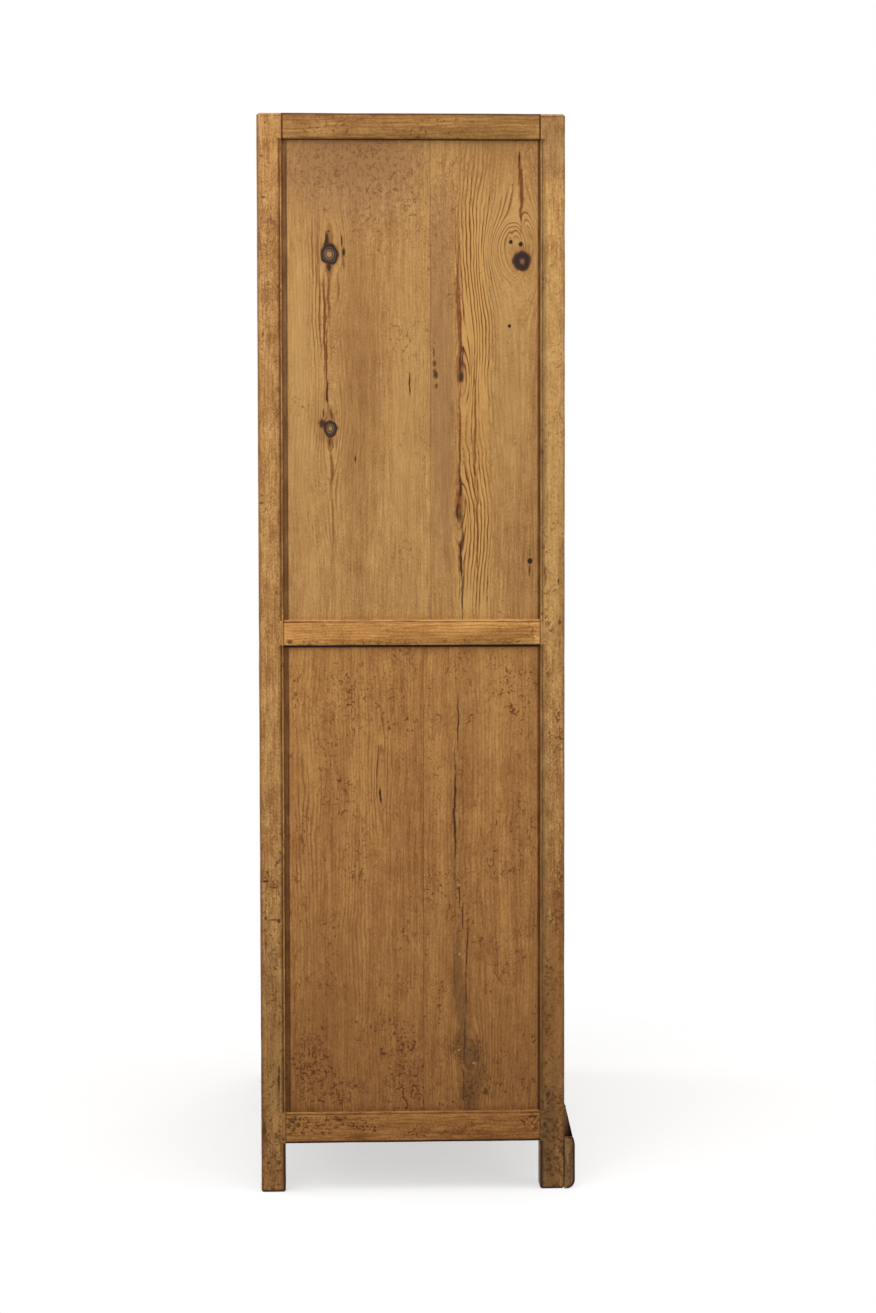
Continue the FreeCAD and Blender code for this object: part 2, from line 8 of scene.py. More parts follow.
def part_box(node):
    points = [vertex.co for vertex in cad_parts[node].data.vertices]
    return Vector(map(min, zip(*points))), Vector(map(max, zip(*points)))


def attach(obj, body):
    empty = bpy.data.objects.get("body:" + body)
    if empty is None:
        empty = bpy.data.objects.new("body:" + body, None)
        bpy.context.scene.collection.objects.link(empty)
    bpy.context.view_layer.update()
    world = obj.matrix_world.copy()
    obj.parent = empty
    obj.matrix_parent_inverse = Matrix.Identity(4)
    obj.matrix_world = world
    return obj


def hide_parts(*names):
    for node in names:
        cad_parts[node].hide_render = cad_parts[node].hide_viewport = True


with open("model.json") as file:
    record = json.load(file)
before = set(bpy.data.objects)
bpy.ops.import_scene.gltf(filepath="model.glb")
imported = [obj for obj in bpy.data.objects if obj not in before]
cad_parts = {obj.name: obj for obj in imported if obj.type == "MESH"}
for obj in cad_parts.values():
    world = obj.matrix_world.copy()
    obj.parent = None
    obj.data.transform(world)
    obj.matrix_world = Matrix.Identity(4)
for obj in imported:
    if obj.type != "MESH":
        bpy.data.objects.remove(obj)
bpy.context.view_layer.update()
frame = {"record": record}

mm = 0.001
axisX, axisY, axisZ = 0, 1, 2
noiseRange = (0.28, 0.72)    # nearly all values of a noise texture lie in it


def tint(red, green, blue):  # screen colour 0-255 to the linear colour that a shader takes
    def linear(part):
        return part / 12.92 if part < 0.04045 else ((part + 0.055) / 1.055) ** 2.4
    return tuple(linear(part / 255) for part in (red, green, blue)) + (1.0,)


# shorthand for one node tree
class Net:
    def __init__(self, tree):
        self.tree = tree

    def add(self, kind, **settings):
        made = self.tree.nodes.new(kind)
        for key, value in settings.items():
            setattr(made, key, value)
        return made

    def put(self, socket, value):
        if isinstance(value, bpy.types.NodeSocket):
            self.tree.links.new(value, socket)
        else:
            socket.default_value = value

    def calc(self, operation, *values, clamp=False):
        made = self.add("ShaderNodeMath", operation=operation, use_clamp=clamp)
        for socket, value in zip(made.inputs, values):
            self.put(socket, value)
        return made.outputs[0]

    def times(self, *values, **options):
        return self.calc("MULTIPLY", *values, **options)

    def plus(self, *values):
        return self.calc("ADD", *values)

    def minus(self, *values, **options):
        return self.calc("SUBTRACT", *values, **options)

    def over(self, *values):
        return self.calc("DIVIDE", *values)

    def timesPlus(self, *values, **options):  # first times second, and the third added
        return self.calc("MULTIPLY_ADD", *values, **options)

    def total(self, values, operation="ADD"):
        result = values[0]
        for value in values[1:]:
            result = self.calc(operation, result, value)
        return result

    def spread(self, value, low, high, toLow=0.0, toHigh=1.0, kind="SMOOTHSTEP"):  # step from low to high
        made = self.add("ShaderNodeMapRange", interpolation_type=kind, clamp=True)
        for socket, number in zip(made.inputs, (value, low, high, toLow, toHigh)):
            self.put(socket, number)
        return made.outputs[0]

    def joined(self, x, y, z):
        made = self.add("ShaderNodeCombineXYZ")
        for socket, value in zip(made.inputs, (x, y, z)):
            self.put(socket, value)
        return made.outputs[0]

    def parted(self, vector):
        made = self.add("ShaderNodeSeparateXYZ")
        self.put(made.inputs[0], vector)
        return made.outputs[0], made.outputs[1], made.outputs[2]

    def cloud(self, vector, detail=2.0, rough=0.5):  # noise of unit size, stretched to fill 0-1
        made = self.add("ShaderNodeTexNoise")
        for name, value in (("Vector", vector), ("Scale", 1.0), ("Detail", detail), ("Roughness", rough)):
            self.put(made.inputs[name], value)
        return self.spread(made.outputs[0], *noiseRange, kind="LINEAR")

    def cells(self, vector):  # distance to the nearest seed, and a number that is the cell's own
        made = self.add("ShaderNodeTexVoronoi", voronoi_dimensions="3D")
        self.put(made.inputs["Vector"], vector)
        self.put(made.inputs["Scale"], 1.0)
        return made.outputs["Distance"], self.parted(made.outputs["Color"])[0]

    def mixed(self, factor, first, second, blend="MIX"):  # 6, 7 and 2 are the sockets for colours
        made = self.add("ShaderNodeMix", data_type="RGBA", blend_type=blend)
        self.put(made.inputs[0], factor)
        self.put(made.inputs[6], first)
        self.put(made.inputs[7], second)
        return made.outputs[2]

    def ramp(self, factor, stops):
        made = self.add("ShaderNodeValToRGB")
        slots = made.color_ramp.elements
        while len(slots) < len(stops):
            slots.new(1.0)
        for element, (place, colour) in zip(slots, stops):
            element.position = place
            element.color = colour
        self.put(made.inputs[0], factor)
        return made.outputs[0]

    def group(self, tree, **values):
        made = self.add("ShaderNodeGroup", node_tree=tree)
        for name, value in values.items():
            self.put(made.inputs[name], value)
        return made.outputs


def newGroup(name, inputs, outputs):
    tree = bpy.data.node_groups.new(name, "ShaderNodeTree")
    for label in inputs:
        tree.interface.new_socket(label, in_out="INPUT", socket_type="NodeSocketFloat")
    for label in outputs:
        tree.interface.new_socket(label, in_out="OUTPUT", socket_type="NodeSocketFloat")
    net = Net(tree)
    return tree, net, net.add("NodeGroupInput").outputs, net.add("NodeGroupOutput").inputs


def newMaterial(name):
    material = bpy.data.materials.new(name)
    material.use_nodes = True
    return material, Net(material.node_tree), material.node_tree.nodes["Principled BSDF"]


def linked(name, data):
    made = bpy.data.objects.new(name, data)
    bpy.context.scene.collection.objects.link(made)
    return made


# grain parts round a knot as water parts round a stone: shift is taken off the cross-grain place
knotShape = {"nested": 0.6, "squash": 0.75, "wobble": 0.22, "wobbleCount": (60.0, 50.0)}


def knotGroup():
    names = ("u", "v", "atU", "atV", "radius", "stretch")
    tree, net, start, end = newGroup("knotFlow", names, ("shift", "ratio"))
    u, v, atU, atV, radius, stretch = start[:6]
    du = net.minus(u, atU)
    dv = net.minus(v, atV)
    far = net.over(dv, stretch)
    square = net.plus(net.times(du, du), net.times(far, far))
    area = net.times(radius, radius)
    around = net.over(net.times(area, du), net.calc("MAXIMUM", square, area))
    nested = net.minus(1.0, net.over(square, area), clamp=True)
    net.put(end["shift"], net.timesPlus(nested, net.times(radius, knotShape["nested"]), around))
    countU, countV = knotShape["wobbleCount"]
    wobble = net.cloud(net.joined(net.times(u, countU), net.times(v, countV), 0.0), 1.0)
    squashed = net.times(net.times(dv, dv), knotShape["squash"])
    near = net.calc("SQRT", net.plus(net.times(du, du), squashed))
    net.put(end["ratio"], net.timesPlus(net.minus(wobble, 0.5), knotShape["wobble"], net.over(near, radius)))
    return tree


# a soft-edged mark that lies along the grain and wavers a little; squareness 2 makes it an ellipse
markShape = {"wobble": 0.5, "wobbleNoise": (150.0, 70.0, 3.0), "edge": (1.35, 0.65),
             "waver": 0.004, "waverNoise": (90.0, 22.0, 8.0)}


def markGroup():
    names = ("u", "v", "atU", "atV", "halfWidth", "halfLength", "squareness")
    tree, net, start, end = newGroup("grainMark", names, ("mask",))
    u, v, atU, atV, halfWidth, halfLength, squareness = start[:7]

    def unsteady(across, kind):
        countU, countV, seed = markShape[kind + "Noise"]
        return net.cloud(net.joined(net.times(across, countU), net.times(v, countV), seed))

    middle = net.timesPlus(net.minus(unsteady(atU, "waver"), 0.5), markShape["waver"], atU)
    sides = []
    for place, at, half in ((u, middle, halfWidth), (v, atV, halfLength)):
        ratio = net.calc("ABSOLUTE", net.over(net.minus(place, at), half))
        sides.append(net.calc("POWER", ratio, squareness))
    far = net.calc("POWER", net.total(sides), net.over(1.0, squareness))
    rough = net.timesPlus(unsteady(u, "wobble"), markShape["wobble"], far)
    net.put(end["mask"], net.spread(rough, *markShape["edge"]))
    return tree


knotFlow = knotGroup()
grainMark = markGroup()


# places and sizes in mm: u across the grain, v along it; without a kind, a knot only bends the grain
def knot(u, v, radius, kind=None, stretch=5.0):
    return {"atU": u * mm, "atV": v * mm, "radius": radius * mm, "stretch": stretch}, kind


def mark(u, v, halfWidth, halfLength, gain=1.0, squareness=2.0):
    sizes = {"atU": u * mm, "atV": v * mm, "halfWidth": halfWidth * mm, "halfLength": halfLength * mm}
    return dict(sizes, squareness=squareness), gain


# colours of a knot from its middle to its rim: (share of the radius, red, green, blue)
knotLooks = {
    "ring": [(0.0, 178, 132, 84), (0.26, 160, 116, 72), (0.36, 46, 31, 24), (0.47, 134, 106, 78),
             (0.58, 36, 25, 21), (0.69, 88, 66, 52), (0.80, 38, 25, 19), (1.0, 76, 44, 25)],
    "solid": [(0.0, 136, 106, 68), (0.18, 124, 94, 60), (0.32, 76, 50, 36), (0.50, 46, 30, 24),
              (0.78, 50, 33, 26), (0.95, 84, 55, 37)],
    "dot": [(0.0, 38, 24, 16), (1.0, 58, 36, 22)],
    "loose": [(0.0, 104, 70, 44), (0.35, 88, 57, 36), (0.75, 58, 37, 24), (1.0, 92, 58, 34)],
}

# noise in the wood: (size across the grain and along it in metres, seed, detail, roughness)
patterns = {
    "band": (0.060, 0.70, 0.0, 3.0, 0.55),       # broad light and dark bands
    "line": (0.0075, 0.26, 7.3, 2.0, 0.55),      # soft growth lines
    "fibre": (0.0026, 0.042, 15.1, 2.0, 0.60),
    "mottle": (0.020, 0.045, 23.7, 4.0, 0.65),
    "grit": (0.0022, 0.0040, 29.3, 1.0, 0.55),
    "waver": (0.12, 0.26, 31.0, 1.0, 0.55),      # late-wood lines bend, ripple and break off
    "ripple": (0.020, 0.060, 37.0, 2.0, 0.55),
    "breaks": (0.013, 0.12, 43.0, 2.0, 0.55),
    "streak": (0.10, 1.1, 71.0, 2.0, 0.55),      # zones of strong lines on boards without their own
    "cluster": (0.055, 0.085, 51.0, 4.0, 0.65),  # where dashes, dots and curls gather
    "curl": (0.012, 0.013, 57.0, 1.0, 0.50),
    "curlGap": (0.007, 0.009, 61.0, 1.0, 0.55),
    "blot": (0.006, 0.007, 67.0, 3.0, 0.65),
}

# waxed old fir: colours as they show on the screen, sizes in metres; an edge is where a step starts and ends
fir = {
    "light": tint(204, 160, 96),
    "middle": tint(179, 132, 77),
    "dark": tint(146, 100, 54),
    "ash": tint(158, 116, 74),
    "amber": tint(214, 160, 84),
    "line": tint(118, 60, 21),
    "mark": tint(66, 38, 20),
    # the next colour is for chips and for painted highlights along edges
    "chip": tint(208, 180, 134),
    "smoke": tint(112, 84, 50),
    "speck": tint(96, 58, 28),
    # the next colour is dirt together with painted shade in recesses, under rails and on edges
    "grime": tint(93, 58, 26),
    # the next colour is a painted black shadow where the strength of dirt and painted shade passes 1
    "gap": tint(26, 16, 9),
    "bandGain": 0.34, "lineGain": 0.30, "fibreGain": 0.36, "mottleGain": 0.32, "gritGain": 0.34,
    "shadePlaces": (0.10, 0.5, 0.92), "depthCount": 30.0,
    "ringSpacing": 0.0064, "ringGain": 0.16, "zoneGain": 0.95, "zoneLight": 0.65,   # sharp late-wood lines
    "ringWaver": 0.016, "ringRipple": 0.0045,
    "ringRise": (0.42, 0.84), "ringFall": (1.0, 0.92), "breaksEdge": (0.0, 0.55),
    "streakEdge": (0.50, 0.80), "streakGain": 0.85,
    "speckShare": 0.50, "speckStep": 0.5, "speckGain": 0.62, "fleckGain": 0.8,
    "dashCount": (210.0, 42.0), "dashEdge": (0.34, 0.12), "dashShare": (0.68, 0.9),
    "dotCount": (165.0, 140.0), "dotEdge": (0.40, 0.16), "dotShare": (0.72, 0.9),
    "curlEdge": (0.12, 0.03), "curlGapEdge": (0.45, 0.75), "blotEdge": (0.54, 0.78), "blotGain": 0.7,
    "knotEdge": (1.14, 0.92),
    "knotCell": (0.17, 0.60), "knotJitter": 0.8, "knotReach": (0.42, 0.2),   # loose knots on other boards
    "knotShare": 0.52, "knotShown": 0.85, "knotRadius": 0.013, "knotLeast": 0.0001, "knotStretch": 5.0,
    "grimeUneven": (0.35, 0.72),
    "lowDark": 0.76, "lowHeight": 1.05, "floorDark": 0.74, "floorHeight": 0.45,   # darker towards the floor
    "lowBrown": (1.0, 1.12, 1.18),
    "roughness": 0.55, "roughSpread": 0.16, "specular": 0.14, "bump": 0.30, "bumpDepth": 0.0012,
    "relief": (0.2, 0.2, -0.6, -1.0),   # of lines, fibre, specks and cracks
}


def firMaterial(name, own=None, **changes):
    look = dict(fir, **changes)
    loose = own is None
    own = own or {}
    material, net, shader = newMaterial(name)
    u, v, w = net.parted(net.add("ShaderNodeAttribute", attribute_name="grain").outputs["Vector"])
    grime = net.add("ShaderNodeAttribute", attribute_name="grime").outputs["Fac"]
    boardTint = net.add("ShaderNodeAttribute", attribute_name="boardTint").outputs["Vector"]
    height = net.parted(net.add("ShaderNodeTexCoord").outputs["Object"])[2]

    # knots push the grain aside; a board without knots of its own gets a few loose ones
    flow = u
    knotLayers = []

    def paintKnot(ratio, kind, share):
        mask = net.times(net.spread(ratio, *look["knotEdge"]), share)
        stops = [(place, tint(*colour)) for place, *colour in knotLooks[kind]]
        knotLayers.append((mask, net.ramp(ratio, stops)))

    for sizes, kind in own.get("knots", []):
        out = net.group(knotFlow, u=u, v=v, **sizes)
        flow = net.minus(flow, out["shift"])
        if kind:
            paintKnot(out["ratio"], kind, 1.0)
    if loose:
        cellWidth, cellLength = look["knotCell"]
        cells = net.add("ShaderNodeTexVoronoi", voronoi_dimensions="2D")
        net.put(cells.inputs["Vector"], net.joined(net.over(u, cellWidth), net.over(v, cellLength), 0.0))
        net.put(cells.inputs["Scale"], 1.0)
        net.put(cells.inputs["Randomness"], look["knotJitter"])
        centre = net.parted(cells.outputs["Position"])
        chance = net.parted(cells.outputs["Color"])
        gate = net.calc("LESS_THAN", chance[0], look["knotShare"])
        radius = net.timesPlus(net.times(gate, chance[1]), look["knotRadius"], look["knotLeast"])
        atU = net.times(centre[0], cellWidth)
        atV = net.times(centre[1], cellLength)
        out = net.group(knotFlow, u=u, v=v, atU=atU, atV=atV, radius=radius, stretch=look["knotStretch"])
        near = net.spread(cells.outputs["Distance"], *look["knotReach"])
        flow = net.minus(flow, net.times(out["shift"], near))
        paintKnot(out["ratio"], "loose", net.times(gate, look["knotShown"]))

    def pattern(kind, across=flow):
        wide, far, seed, detail, rough = patterns[kind]
        depth = net.timesPlus(w, look["depthCount"], seed)
        return net.cloud(net.joined(net.over(across, wide), net.over(v, far), depth), detail, rough)

    def masked(kind):
        found = []
        for row in own.get(kind, []):
            sizes, gain = mark(*row)
            found.append(net.times(net.group(grainMark, u=u, v=v, **sizes)["mask"], gain))
        return net.total(found, "MAXIMUM") if found else None

    def stained(colour, *stains):
        for stain in stains:
            mask = masked(stain)
            colour = net.mixed(mask, colour, look[stain]) if mask else colour
        return colour

    # bands, soft lines, fibre, mottling and grit
    parts = {kind: pattern(kind) for kind in ("band", "line", "fibre", "mottle", "grit")}
    shade = net.total([net.times(net.minus(part, 0.5), look[kind + "Gain"]) for kind, part in parts.items()])
    stops = zip(look["shadePlaces"], (look["light"], look["middle"], look["dark"]))
    colour = net.ramp(net.plus(shade, 0.5), list(stops))

    # late-wood lines: a sawtooth across the flow, sharp on one side, strong in the zones of the board
    waver = net.times(pattern("waver"), look["ringWaver"])
    waver = net.timesPlus(pattern("ripple"), look["ringRipple"], waver)
    saw = net.calc("FRACT", net.over(net.plus(flow, waver), look["ringSpacing"]))
    saw = net.times(net.spread(saw, *look["ringRise"]), net.spread(saw, *look["ringFall"]))
    saw = net.times(saw, net.spread(pattern("breaks"), *look["breaksEdge"]))
    zone = masked("zones")
    if loose:
        zone = net.times(net.spread(pattern("streak"), *look["streakEdge"]), look["streakGain"])
    ringGain = look["ringGain"]
    if zone:
        ringGain = net.timesPlus(zone, look["zoneGain"], ringGain, clamp=True)
        colour = net.mixed(net.times(zone, look["zoneLight"]), colour, look["light"])
    colour = stained(colour, "light", "amber")
    colour = net.mixed(net.times(saw, ringGain), colour, look["line"])

    # darker stains, then dashes, dots and curled scratches in loose clusters
    colour = stained(colour, "dark", "ash", "smoke", "line")
    cluster = net.spread(pattern("cluster", u), look["speckShare"], look["speckShare"] + look["speckStep"])
    patch = masked("patches")
    if patch:
        cluster = net.plus(cluster, patch)

    def flecks(kind, across):  # one in a cell, in a share of the cells
        countU, countV = look[kind + "Count"]
        near, chance = net.cells(net.joined(net.times(across, countU), net.times(v, countV), w))
        shown = net.times(net.spread(near, *look[kind + "Edge"]), net.spread(chance, *look[kind + "Share"]))
        return net.times(shown, look["fleckGain"])

    curl = net.calc("ABSOLUTE", net.minus(pattern("curl", u), 0.5))
    broken = net.spread(pattern("curlGap"), *look["curlGapEdge"])
    curls = net.times(net.spread(curl, *look["curlEdge"]), broken)
    specks = net.total([flecks("dash", flow), flecks("dot", u), curls], "MAXIMUM")
    specks = net.times(specks, cluster, clamp=True)
    if patch:
        blots = net.spread(pattern("blot", u), *look["blotEdge"])
        blots = net.times(blots, net.times(patch, look["blotGain"]))
        specks = net.calc("MAXIMUM", specks, blots, clamp=True)
    colour = net.mixed(net.times(specks, look["speckGain"]), colour, look["speck"])

    # cracks, chips and painted highlights of this board, then its knots
    cracks = masked("mark")
    if cracks:
        colour = net.mixed(cracks, colour, look["mark"])
    colour = stained(colour, "chip")
    for mask, shown in knotLayers:
        colour = net.mixed(mask, colour, shown)

    # painted shade and dirt in the corners, a painted black shadow where it fills a gap, and a browner tone
    # towards the floor
    uneven = net.timesPlus(parts["mottle"], *look["grimeUneven"])
    colour = net.mixed(net.times(grime, uneven, clamp=True), colour, look["grime"])
    colour = net.mixed(net.minus(grime, 1.0, clamp=True), colour, look["gap"])
    low = net.times(net.spread(height, 0.0, look["lowHeight"], look["lowDark"], 1.0),
                    net.spread(height, 0.0, look["floorHeight"], look["floorDark"], 1.0))
    brown = net.joined(*[net.calc("POWER", low, power) for power in look["lowBrown"]])
    colour = net.mixed(1.0, colour, brown, "MULTIPLY")
    net.put(shader.inputs["Base Color"], net.mixed(1.0, colour, boardTint, "MULTIPLY"))
    smoothest = look["roughness"] - look["roughSpread"] / 2
    net.put(shader.inputs["Roughness"], net.timesPlus(parts["mottle"], look["roughSpread"], smoothest))
    net.put(shader.inputs["Specular IOR Level"], look["specular"])

    layers = (parts["line"], parts["fibre"], specks, cracks or 0.0)
    relief = net.total([net.times(layer, depth) for layer, depth in zip(layers, look["relief"])])
    bump = net.add("ShaderNodeBump")
    for label, value in (("Strength", look["bump"]), ("Distance", look["bumpDepth"]), ("Height", relief)):
        net.put(bump.inputs[label], value)
    net.put(shader.inputs["Normal"], bump.outputs[0])
    return material


# aged brass of plates and pulls
brassLook = {
    "bright": tint(206, 166, 94), "dull": tint(132, 96, 50), "dirt": tint(54, 37, 20), "dullAt": 0.6,
    "roughness": 0.30, "roughSpread": 0.28,
    "patchCount": 90.0, "patchDetail": 4.0, "patchRough": 0.6, "patchGain": 0.55,
    "pullTarnish": (0.15, 0.60),    # at the lower and the upper end of a pull
}


def brassMaterial():
    material, net, shader = newMaterial("agedBrass")
    place = net.parted(net.add("ShaderNodeTexCoord").outputs["Object"])
    place = net.joined(*[net.times(part, brassLook["patchCount"]) for part in place])
    patches = net.cloud(place, brassLook["patchDetail"], brassLook["patchRough"])
    tarnish = net.add("ShaderNodeAttribute", attribute_name="tarnish").outputs["Fac"]
    aged = net.timesPlus(net.minus(patches, 0.5), brassLook["patchGain"], tarnish, clamp=True)
    stops = [(0.0, brassLook["bright"]), (brassLook["dullAt"], brassLook["dull"]), (1.0, brassLook["dirt"])]
    net.put(shader.inputs["Base Color"], net.ramp(aged, stops))
    rough = net.timesPlus(aged, brassLook["roughSpread"], brassLook["roughness"])
    net.put(shader.inputs["Roughness"], rough)
    net.put(shader.inputs["Metallic"], 1.0)
    return material


# round plates in two halves, with turned lines and a rolled rim, held by tacks; sizes in mm, span in degrees
plateLook = {
    "profile": [    # (radius, height, tarnish)
        (0.0, 1.6, 0.45), (24.0, 1.6, 0.45), (25.4, 1.6, 1.0), (26.2, 2.2, 0.1), (27.2, 2.2, 0.1),
        (28.0, 1.6, 1.0), (29.6, 1.6, 0.5), (39.6, 1.6, 0.55), (41.4, 1.6, 1.0), (42.4, 2.6, 0.1),
        (44.0, 2.6, 0.1), (45.0, 1.6, 1.0), (46.2, 1.6, 0.6), (48.2, 1.6, 0.8), (49.2, 2.2, 0.1),
        (50.3, 1.8, 0.15), (51.0, 0.0, 1.0),
    ],
    "steps": 44, "tackCount": 5, "tackRing": 47.0, "tackRadius": 1.9, "tackSpan": 140.0,
    "tackSegments": 12, "tackRings": 6,
    "softEdge": 0.4,    # taken off the edges of eyes and pulls
}


def halfPlate(low, high, sign):  # sign -1 for the left door; the flat edge is at the meeting stile
    shape = bmesh.new()
    tarnish = shape.verts.layers.float.new("tarnish")
    edge = high.x if sign < 0 else low.x
    middle = (low.z + high.z) / 2
    spokes = []
    for step in range(plateLook["steps"] + 1):
        turn = math.pi * (step / plateLook["steps"] - 0.5)
        spokes.append([])
        for radius, height, age in plateLook["profile"]:
            vert = shape.verts.new((edge + sign * radius * mm * math.cos(turn), high.y - height * mm,
                                    middle + radius * mm * math.sin(turn)))
            vert[tarnish] = age
            spokes[-1].append(vert)
    for row, after in zip(spokes, spokes[1:]):
        for index in range(len(row) - 1):
            shape.faces.new((row[index], row[index + 1], after[index + 1], after[index]))
    bmesh.ops.remove_doubles(shape, verts=shape.verts, dist=wear["mergeGap"])
    bmesh.ops.holes_fill(shape, edges=[line for line in shape.edges if line.is_boundary])
    return shape


def reach(shape):  # lowest and highest place on each axis
    places = [vert.co for vert in shape.verts]
    low = Vector([min(place[axis] for place in places) for axis in (axisX, axisY, axisZ)])
    high = Vector([max(place[axis] for place in places) for axis in (axisX, axisY, axisZ)])
    return low, high


def softened(shape):
    sharp = [line for line in shape.edges
             if len(line.link_faces) == 2 and line.calc_face_angle() > wear["sharpAngle"]]
    offset = plateLook["softEdge"] * mm
    bmesh.ops.bevel(shape, geom=sharp, offset=offset, segments=2, affect="EDGES", profile=0.5)
    tarnish = shape.verts.layers.float.new("tarnish")
    low, high = reach(shape)
    worn, dull = brassLook["pullTarnish"]
    for vert in shape.verts:
        vert[tarnish] = worn + (dull - worn) * (vert.co.z - low.z) / (high.z - low.z)
    return shape


def meshOf(name, shape, material):
    bmesh.ops.recalc_face_normals(shape, faces=shape.faces)
    for face in shape.faces:
        face.smooth = True
    mesh = bpy.data.meshes.new(name)
    shape.to_mesh(mesh)
    shape.free()
    mesh.set_sharp_from_angle(angle=wear["sharpAngle"])
    mesh.materials.append(material)
    return mesh


def brassPiece(name, shape, node):
    piece = linked(name, meshOf(name, shape, agedBrass))
    seatBrass(piece, node)


def seatBrass(piece, node):
    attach(piece, bodyOf[node])
    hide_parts(node)


# domed tacks on an arc; the plate lies across Y
def tackTree():
    tree = bpy.data.node_groups.new("plateTacks", "GeometryNodeTree")
    kinds = {"ringRadius": "Float", "tackRadius": "Float", "count": "Int", "startAngle": "Float",
             "span": "Float", "middle": "Vector"}
    for label, kind in kinds.items():
        tree.interface.new_socket(label, in_out="INPUT", socket_type="NodeSocket" + kind)
    tree.interface.new_socket("tacks", in_out="OUTPUT", socket_type="NodeSocketGeometry")
    net = Net(tree)
    given = net.add("NodeGroupInput").outputs
    arc = net.add("GeometryNodeCurveArc", mode="RADIUS")
    for name, label in (("Resolution", "count"), ("Radius", "ringRadius"), ("Start Angle", "startAngle"),
                        ("Sweep Angle", "span")):
        net.put(arc.inputs[name], given[label])
    head = net.add("GeometryNodeMeshUVSphere")
    net.put(head.inputs["Segments"], plateLook["tackSegments"])
    net.put(head.inputs["Rings"], plateLook["tackRings"])
    net.put(head.inputs["Radius"], given["tackRadius"])
    placed = net.add("GeometryNodeInstanceOnPoints")
    net.put(placed.inputs["Points"], arc.outputs["Curve"])
    net.put(placed.inputs["Instance"], head.outputs["Mesh"])

    def after(before, kind):
        made = net.add(kind)
        net.put(made.inputs["Geometry"], before.outputs[0])
        return made

    stood = after(placed, "GeometryNodeTransform")
    net.put(stood.inputs["Translation"], given["middle"])
    net.put(stood.inputs["Rotation"], (math.pi / 2, 0.0, 0.0))
    smooth = after(stood, "GeometryNodeSetShadeSmooth")
    painted = after(after(smooth, "GeometryNodeRealizeInstances"), "GeometryNodeSetMaterial")
    net.put(painted.inputs["Material"], agedBrass)
    net.put(net.add("NodeGroupOutput").inputs["tacks"], painted.outputs[0])
    return tree


def plateTacks(name, low, high, sign, node):
    edge = high.x if sign < 0 else low.x
    span = math.radians(plateLook["tackSpan"])
    outward = math.pi if sign < 0 else 0.0
    sizes = {"ringRadius": plateLook["tackRing"] * mm, "tackRadius": plateLook["tackRadius"] * mm,
             "count": plateLook["tackCount"], "span": span, "startAngle": outward - span / 2,
             "middle": (edge, low.y, (low.z + high.z) / 2)}
    piece = linked(name, bpy.data.meshes.new(name))
    modifier = piece.modifiers.new("tacks", "NODES")
    modifier.node_group = tacks
    for label, value in sizes.items():
        modifier[tacks.interface.items_tree[label].identifier] = value
    made = piece.evaluated_get(bpy.context.evaluated_depsgraph_get())
    mesh = bpy.data.meshes.new_from_object(made)
    piece.modifiers.clear()
    piece.data = mesh
    seatBrass(piece, node)


def brassNode(node):
    if node.endswith("_pull"):
        for number, shape in enumerate(boardsOf(node)):
            brassPiece(f"{node}{number}", softened(shape), node)
        return
    sign = -1 if "_left_" in node else 1
    for shape in boardsOf(node):
        low, high = reach(shape)
        if high.y - low.y > high.z - low.z:    # the eye, which reaches through the stile
            brassPiece(f"{node}Eye", softened(shape), node)
            continue
        shape.free()
        brassPiece(f"{node}Disc", halfPlate(low, high, sign), node)
        plateTacks(f"{node}Tacks", low, high, sign, node)


# worn copies of the CAD pieces, one object for each board
wear = {
    "mergeGap": 1e-5, "sliceGap": 1e-6, "sharpAngle": 0.6, "flatAngle": 0.01, "slice": 0.05,
    "turn": 0.83, "faceDepth": 0.006, "jointMove": 0.3,
    # the last value is the strength of the painted black shade on the rims of end faces of foot and apron
    "wave": 0.0004, "waveCount": 9.0, "dent": 0.0007, "dentCount": 45.0, "rimWidth": 0.0050, "rimDirt": 2.3,
}


def boardsOf(node):  # one bmesh for each separate board, in a steady order
    whole = bmesh.new()
    whole.from_mesh(bpy.data.objects[node].data)
    bmesh.ops.remove_doubles(whole, verts=whole.verts, dist=wear["mergeGap"])
    whole.faces.ensure_lookup_table()
    whole.faces.index_update()
    owner = [None] * len(whole.faces)
    count = 0
    for face in whole.faces:
        if owner[face.index] is not None:
            continue
        owner[face.index] = count
        waiting = [face]
        while waiting:
            here = waiting.pop()
            for edge in here.edges:
                for other in edge.link_faces:
                    if owner[other.index] is None:
                        owner[other.index] = count
                        waiting.append(other)
        count += 1
    boards = []
    for number in range(count):
        board = whole.copy()
        board.faces.ensure_lookup_table()
        others = [face for face in board.faces if owner[face.index] != number]
        bmesh.ops.delete(board, geom=others, context="FACES")
        boards.append(board)
    whole.free()

    def middle(board):
        total = sum((vert.co for vert in board.verts), Vector())
        return tuple(round(part, 4) for part in total / len(board.verts))
    return sorted(boards, key=middle)


def sliced(shape, axis, places):
    across = Vector((0, 0, 0))
    across[axis] = 1.0
    for place in places:
        everything = shape.verts[:] + shape.edges[:] + shape.faces[:]
        bmesh.ops.bisect_plane(shape, geom=everything, dist=wear["sliceGap"], plane_co=across * place,
                               plane_no=across)


def steps(low, high, size):
    count = max(1, round((high - low) / size))
    return [low + (high - low) * index / count for index in range(1, count)]


